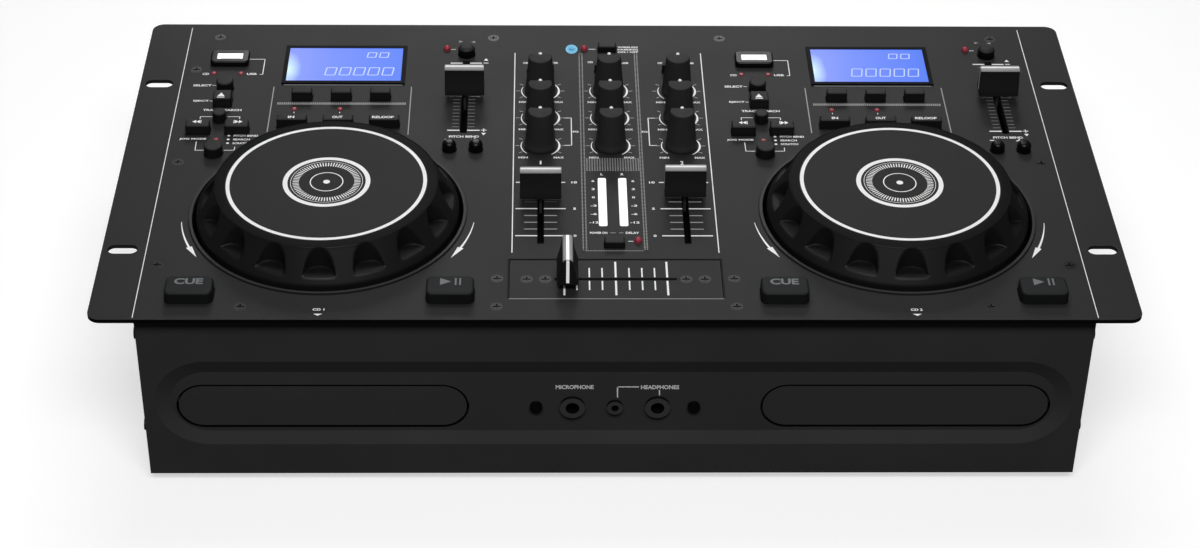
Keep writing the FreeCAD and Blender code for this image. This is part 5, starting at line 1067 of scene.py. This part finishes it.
# legends on the keys' tops, measured from the deck's middle: piece name, paint, marks
keyLegends = {
    "cue_key": ("cueLegend_", "keyInk", {"words": (("CUE", -66.1, -52.9, -108.7, 4.6, 0.035),)}),
    "play_key": ("playLegend_", "keyInk", {
        "shapes": (((55.8, -111.5), (60.8, -108.85), (55.8, -106.2)),),
        "boxes": ((62.55, -111.5, 63.4, -106.2), (64.6, -111.5, 65.4, -106.2)),
    }),
    "eject_key": ("ejectLegend_", "ink", {
        "shapes": (((-62.4, 50.2), (-58.6, 50.2), (-60.5, 53.7)),), "boxes": ((-62.4, 49.0, -58.6, 49.6),),
    }),
    "search_keys": ("searchLegend_", "ink", {
        "shapes": (((-72.4, 26.5), (-70.5, 25.05), (-70.5, 27.95)), ((-70.5, 26.5), (-68.6, 25.05), (-68.6, 27.95)),
                   ((-49.2, 27.95), (-49.2, 25.05), (-47.3, 26.5)), ((-51.1, 27.95), (-51.1, 25.05), (-49.2, 26.5))),
        "boxes": ((-68.35, 25.05, -67.9, 27.95), (-51.8, 25.05, -51.35, 27.95)),
    }),
    "loop_keys": ("loopLegend_", "ink", {"words": (
        ("IN", -25.0, -21.8, 31.0, 2.1), ("OUT", -2.8, 2.4, 31.0, 2.1), ("RELOOP", 17.2, 28.2, 31.0, 2.1))}),
}


for deckSide, deckShift in decks.items():
    for key, (pieceName, paint, marks) in keyLegends.items():
        node = key + "_" + deckSide
        layMarks(levelPlane(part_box(node)[1].z / mm), marks, deckPlan["middle"] + deckShift, pieceName + deckSide, paint,
                 node + "_cap", "key_plastic")
print("display digits and key legends laid")


# floor, sky, lamps and camera
floorLook = {"size": 8.0, "shown": (0.93, 0.93, 0.93), "bounced": (0.05, 0.05, 0.05), "lift": 0.42, "glow": 1.42}
sky = {"shown": 1.0, "lighting": 0.08}
lamps = {
    "topLamp": {"place": (0.0, 0.45, 1.20), "aim": (0, 0, 0.08), "size": (0.9, 0.4), "power": 4.6},
    "rearLamp": {"place": (0.0, 1.00, 0.62), "aim": (0, 0.27, 0.1), "size": (0.7, 0.4), "power": 0.19, "spread": 33},
    "frontLamp": {"place": (0.0, -0.94, 1.42), "aim": (0, -0.1, 0.08), "size": (1.0, 0.45), "power": 16},
}
eye = {"place": (-0.0351, -1.0715, 0.8187), "turn": (53.675, -0.807, -1.037), "lens": 78.03, "sensor": 36.0,
       "near": 0.05, "far": 50.0}


def seenDirectly(tree):
    # 1 for what the camera sees, also through glass, and 0 for light that bounces
    rays = newNode(tree, "LightPath")
    seen = newNode(tree, "Math", None, "MAXIMUM")
    join(rays, "Is Camera Ray", seen, 0)
    join(rays, "Is Transmission Ray", seen, 1)
    return seen


def buildFloor():
    # pale to the eye, dark to the light that it would throw back at the object
    half = floorLook["size"] / 2
    mesh = bpy.data.meshes.new("floor")
    mesh.from_pydata([(-half, -half, 0), (half, -half, 0), (half, half, 0), (-half, half, 0)], [], [(0, 1, 2, 3)])
    material, tree, shader = newMaterial("floorPaper", {})
    tree.nodes.remove(shader)
    pale = newNode(tree, "BsdfDiffuse", {"Color": (*floorLook["shown"], 1)})
    dark = newNode(tree, "BsdfDiffuse", {"Color": (*floorLook["bounced"], 1)})
    glow = newNode(tree, "Emission", {"Color": (1, 1, 1, 1), "Strength": floorLook["glow"]})
    lifted = newNode(tree, "MixShader", {"Fac": floorLook["lift"]})
    mixed = newNode(tree, "MixShader")
    for mix, first, second in ((lifted, pale, glow), (mixed, dark, lifted)):
        join(first, 0, mix, 1)
        join(second, 0, mix, 2)
    join(seenDirectly(tree), 0, mixed, "Fac")
    join(mixed, 0, tree.nodes["Material Output"], "Surface")
    mesh.materials.append(material)
    newObject("floor", mesh)


def buildWorld():
    world = bpy.data.worlds.new("studio")
    bpy.context.scene.world = world
    world.use_nodes = True
    tree = world.node_tree
    background = tree.nodes["Background"]
    background.inputs["Color"].default_value = (1, 1, 1, 1)
    level = newNode(tree, "MapRange", {"To Min": sky["lighting"], "To Max": sky["shown"]})
    join(seenDirectly(tree), 0, level, "Value")
    join(level, "Result", background, "Strength")


def addLamp(name, place, aim, size, power, spread=180):
    lamp = bpy.data.lights.new(name, "AREA")
    lamp.shape = "RECTANGLE"
    lamp.size, lamp.size_y = size
    lamp.energy = power
    lamp.spread = radians(spread)
    holder = newObject(name, lamp)
    holder.location = place
    holder.rotation_euler = (Vector(aim) - Vector(place)).to_track_quat("-Z", "Y").to_euler()


def buildCamera():
    camera = bpy.data.cameras.new("camera")
    camera.lens = eye["lens"]
    camera.sensor_width = eye["sensor"]
    camera.sensor_fit = "HORIZONTAL"
    camera.clip_start = eye["near"]
    camera.clip_end = eye["far"]
    holder = newObject("camera", camera)
    holder.location = eye["place"]
    holder.rotation_euler = [radians(a) for a in eye["turn"]]
    bpy.context.scene.camera = holder


buildFloor()
buildWorld()
for lampName, lampValues in lamps.items():
    addLamp(lampName, **lampValues)
buildCamera()
bpy.context.scene.view_settings.view_transform = "Standard"
print("stage, lamps and camera set")
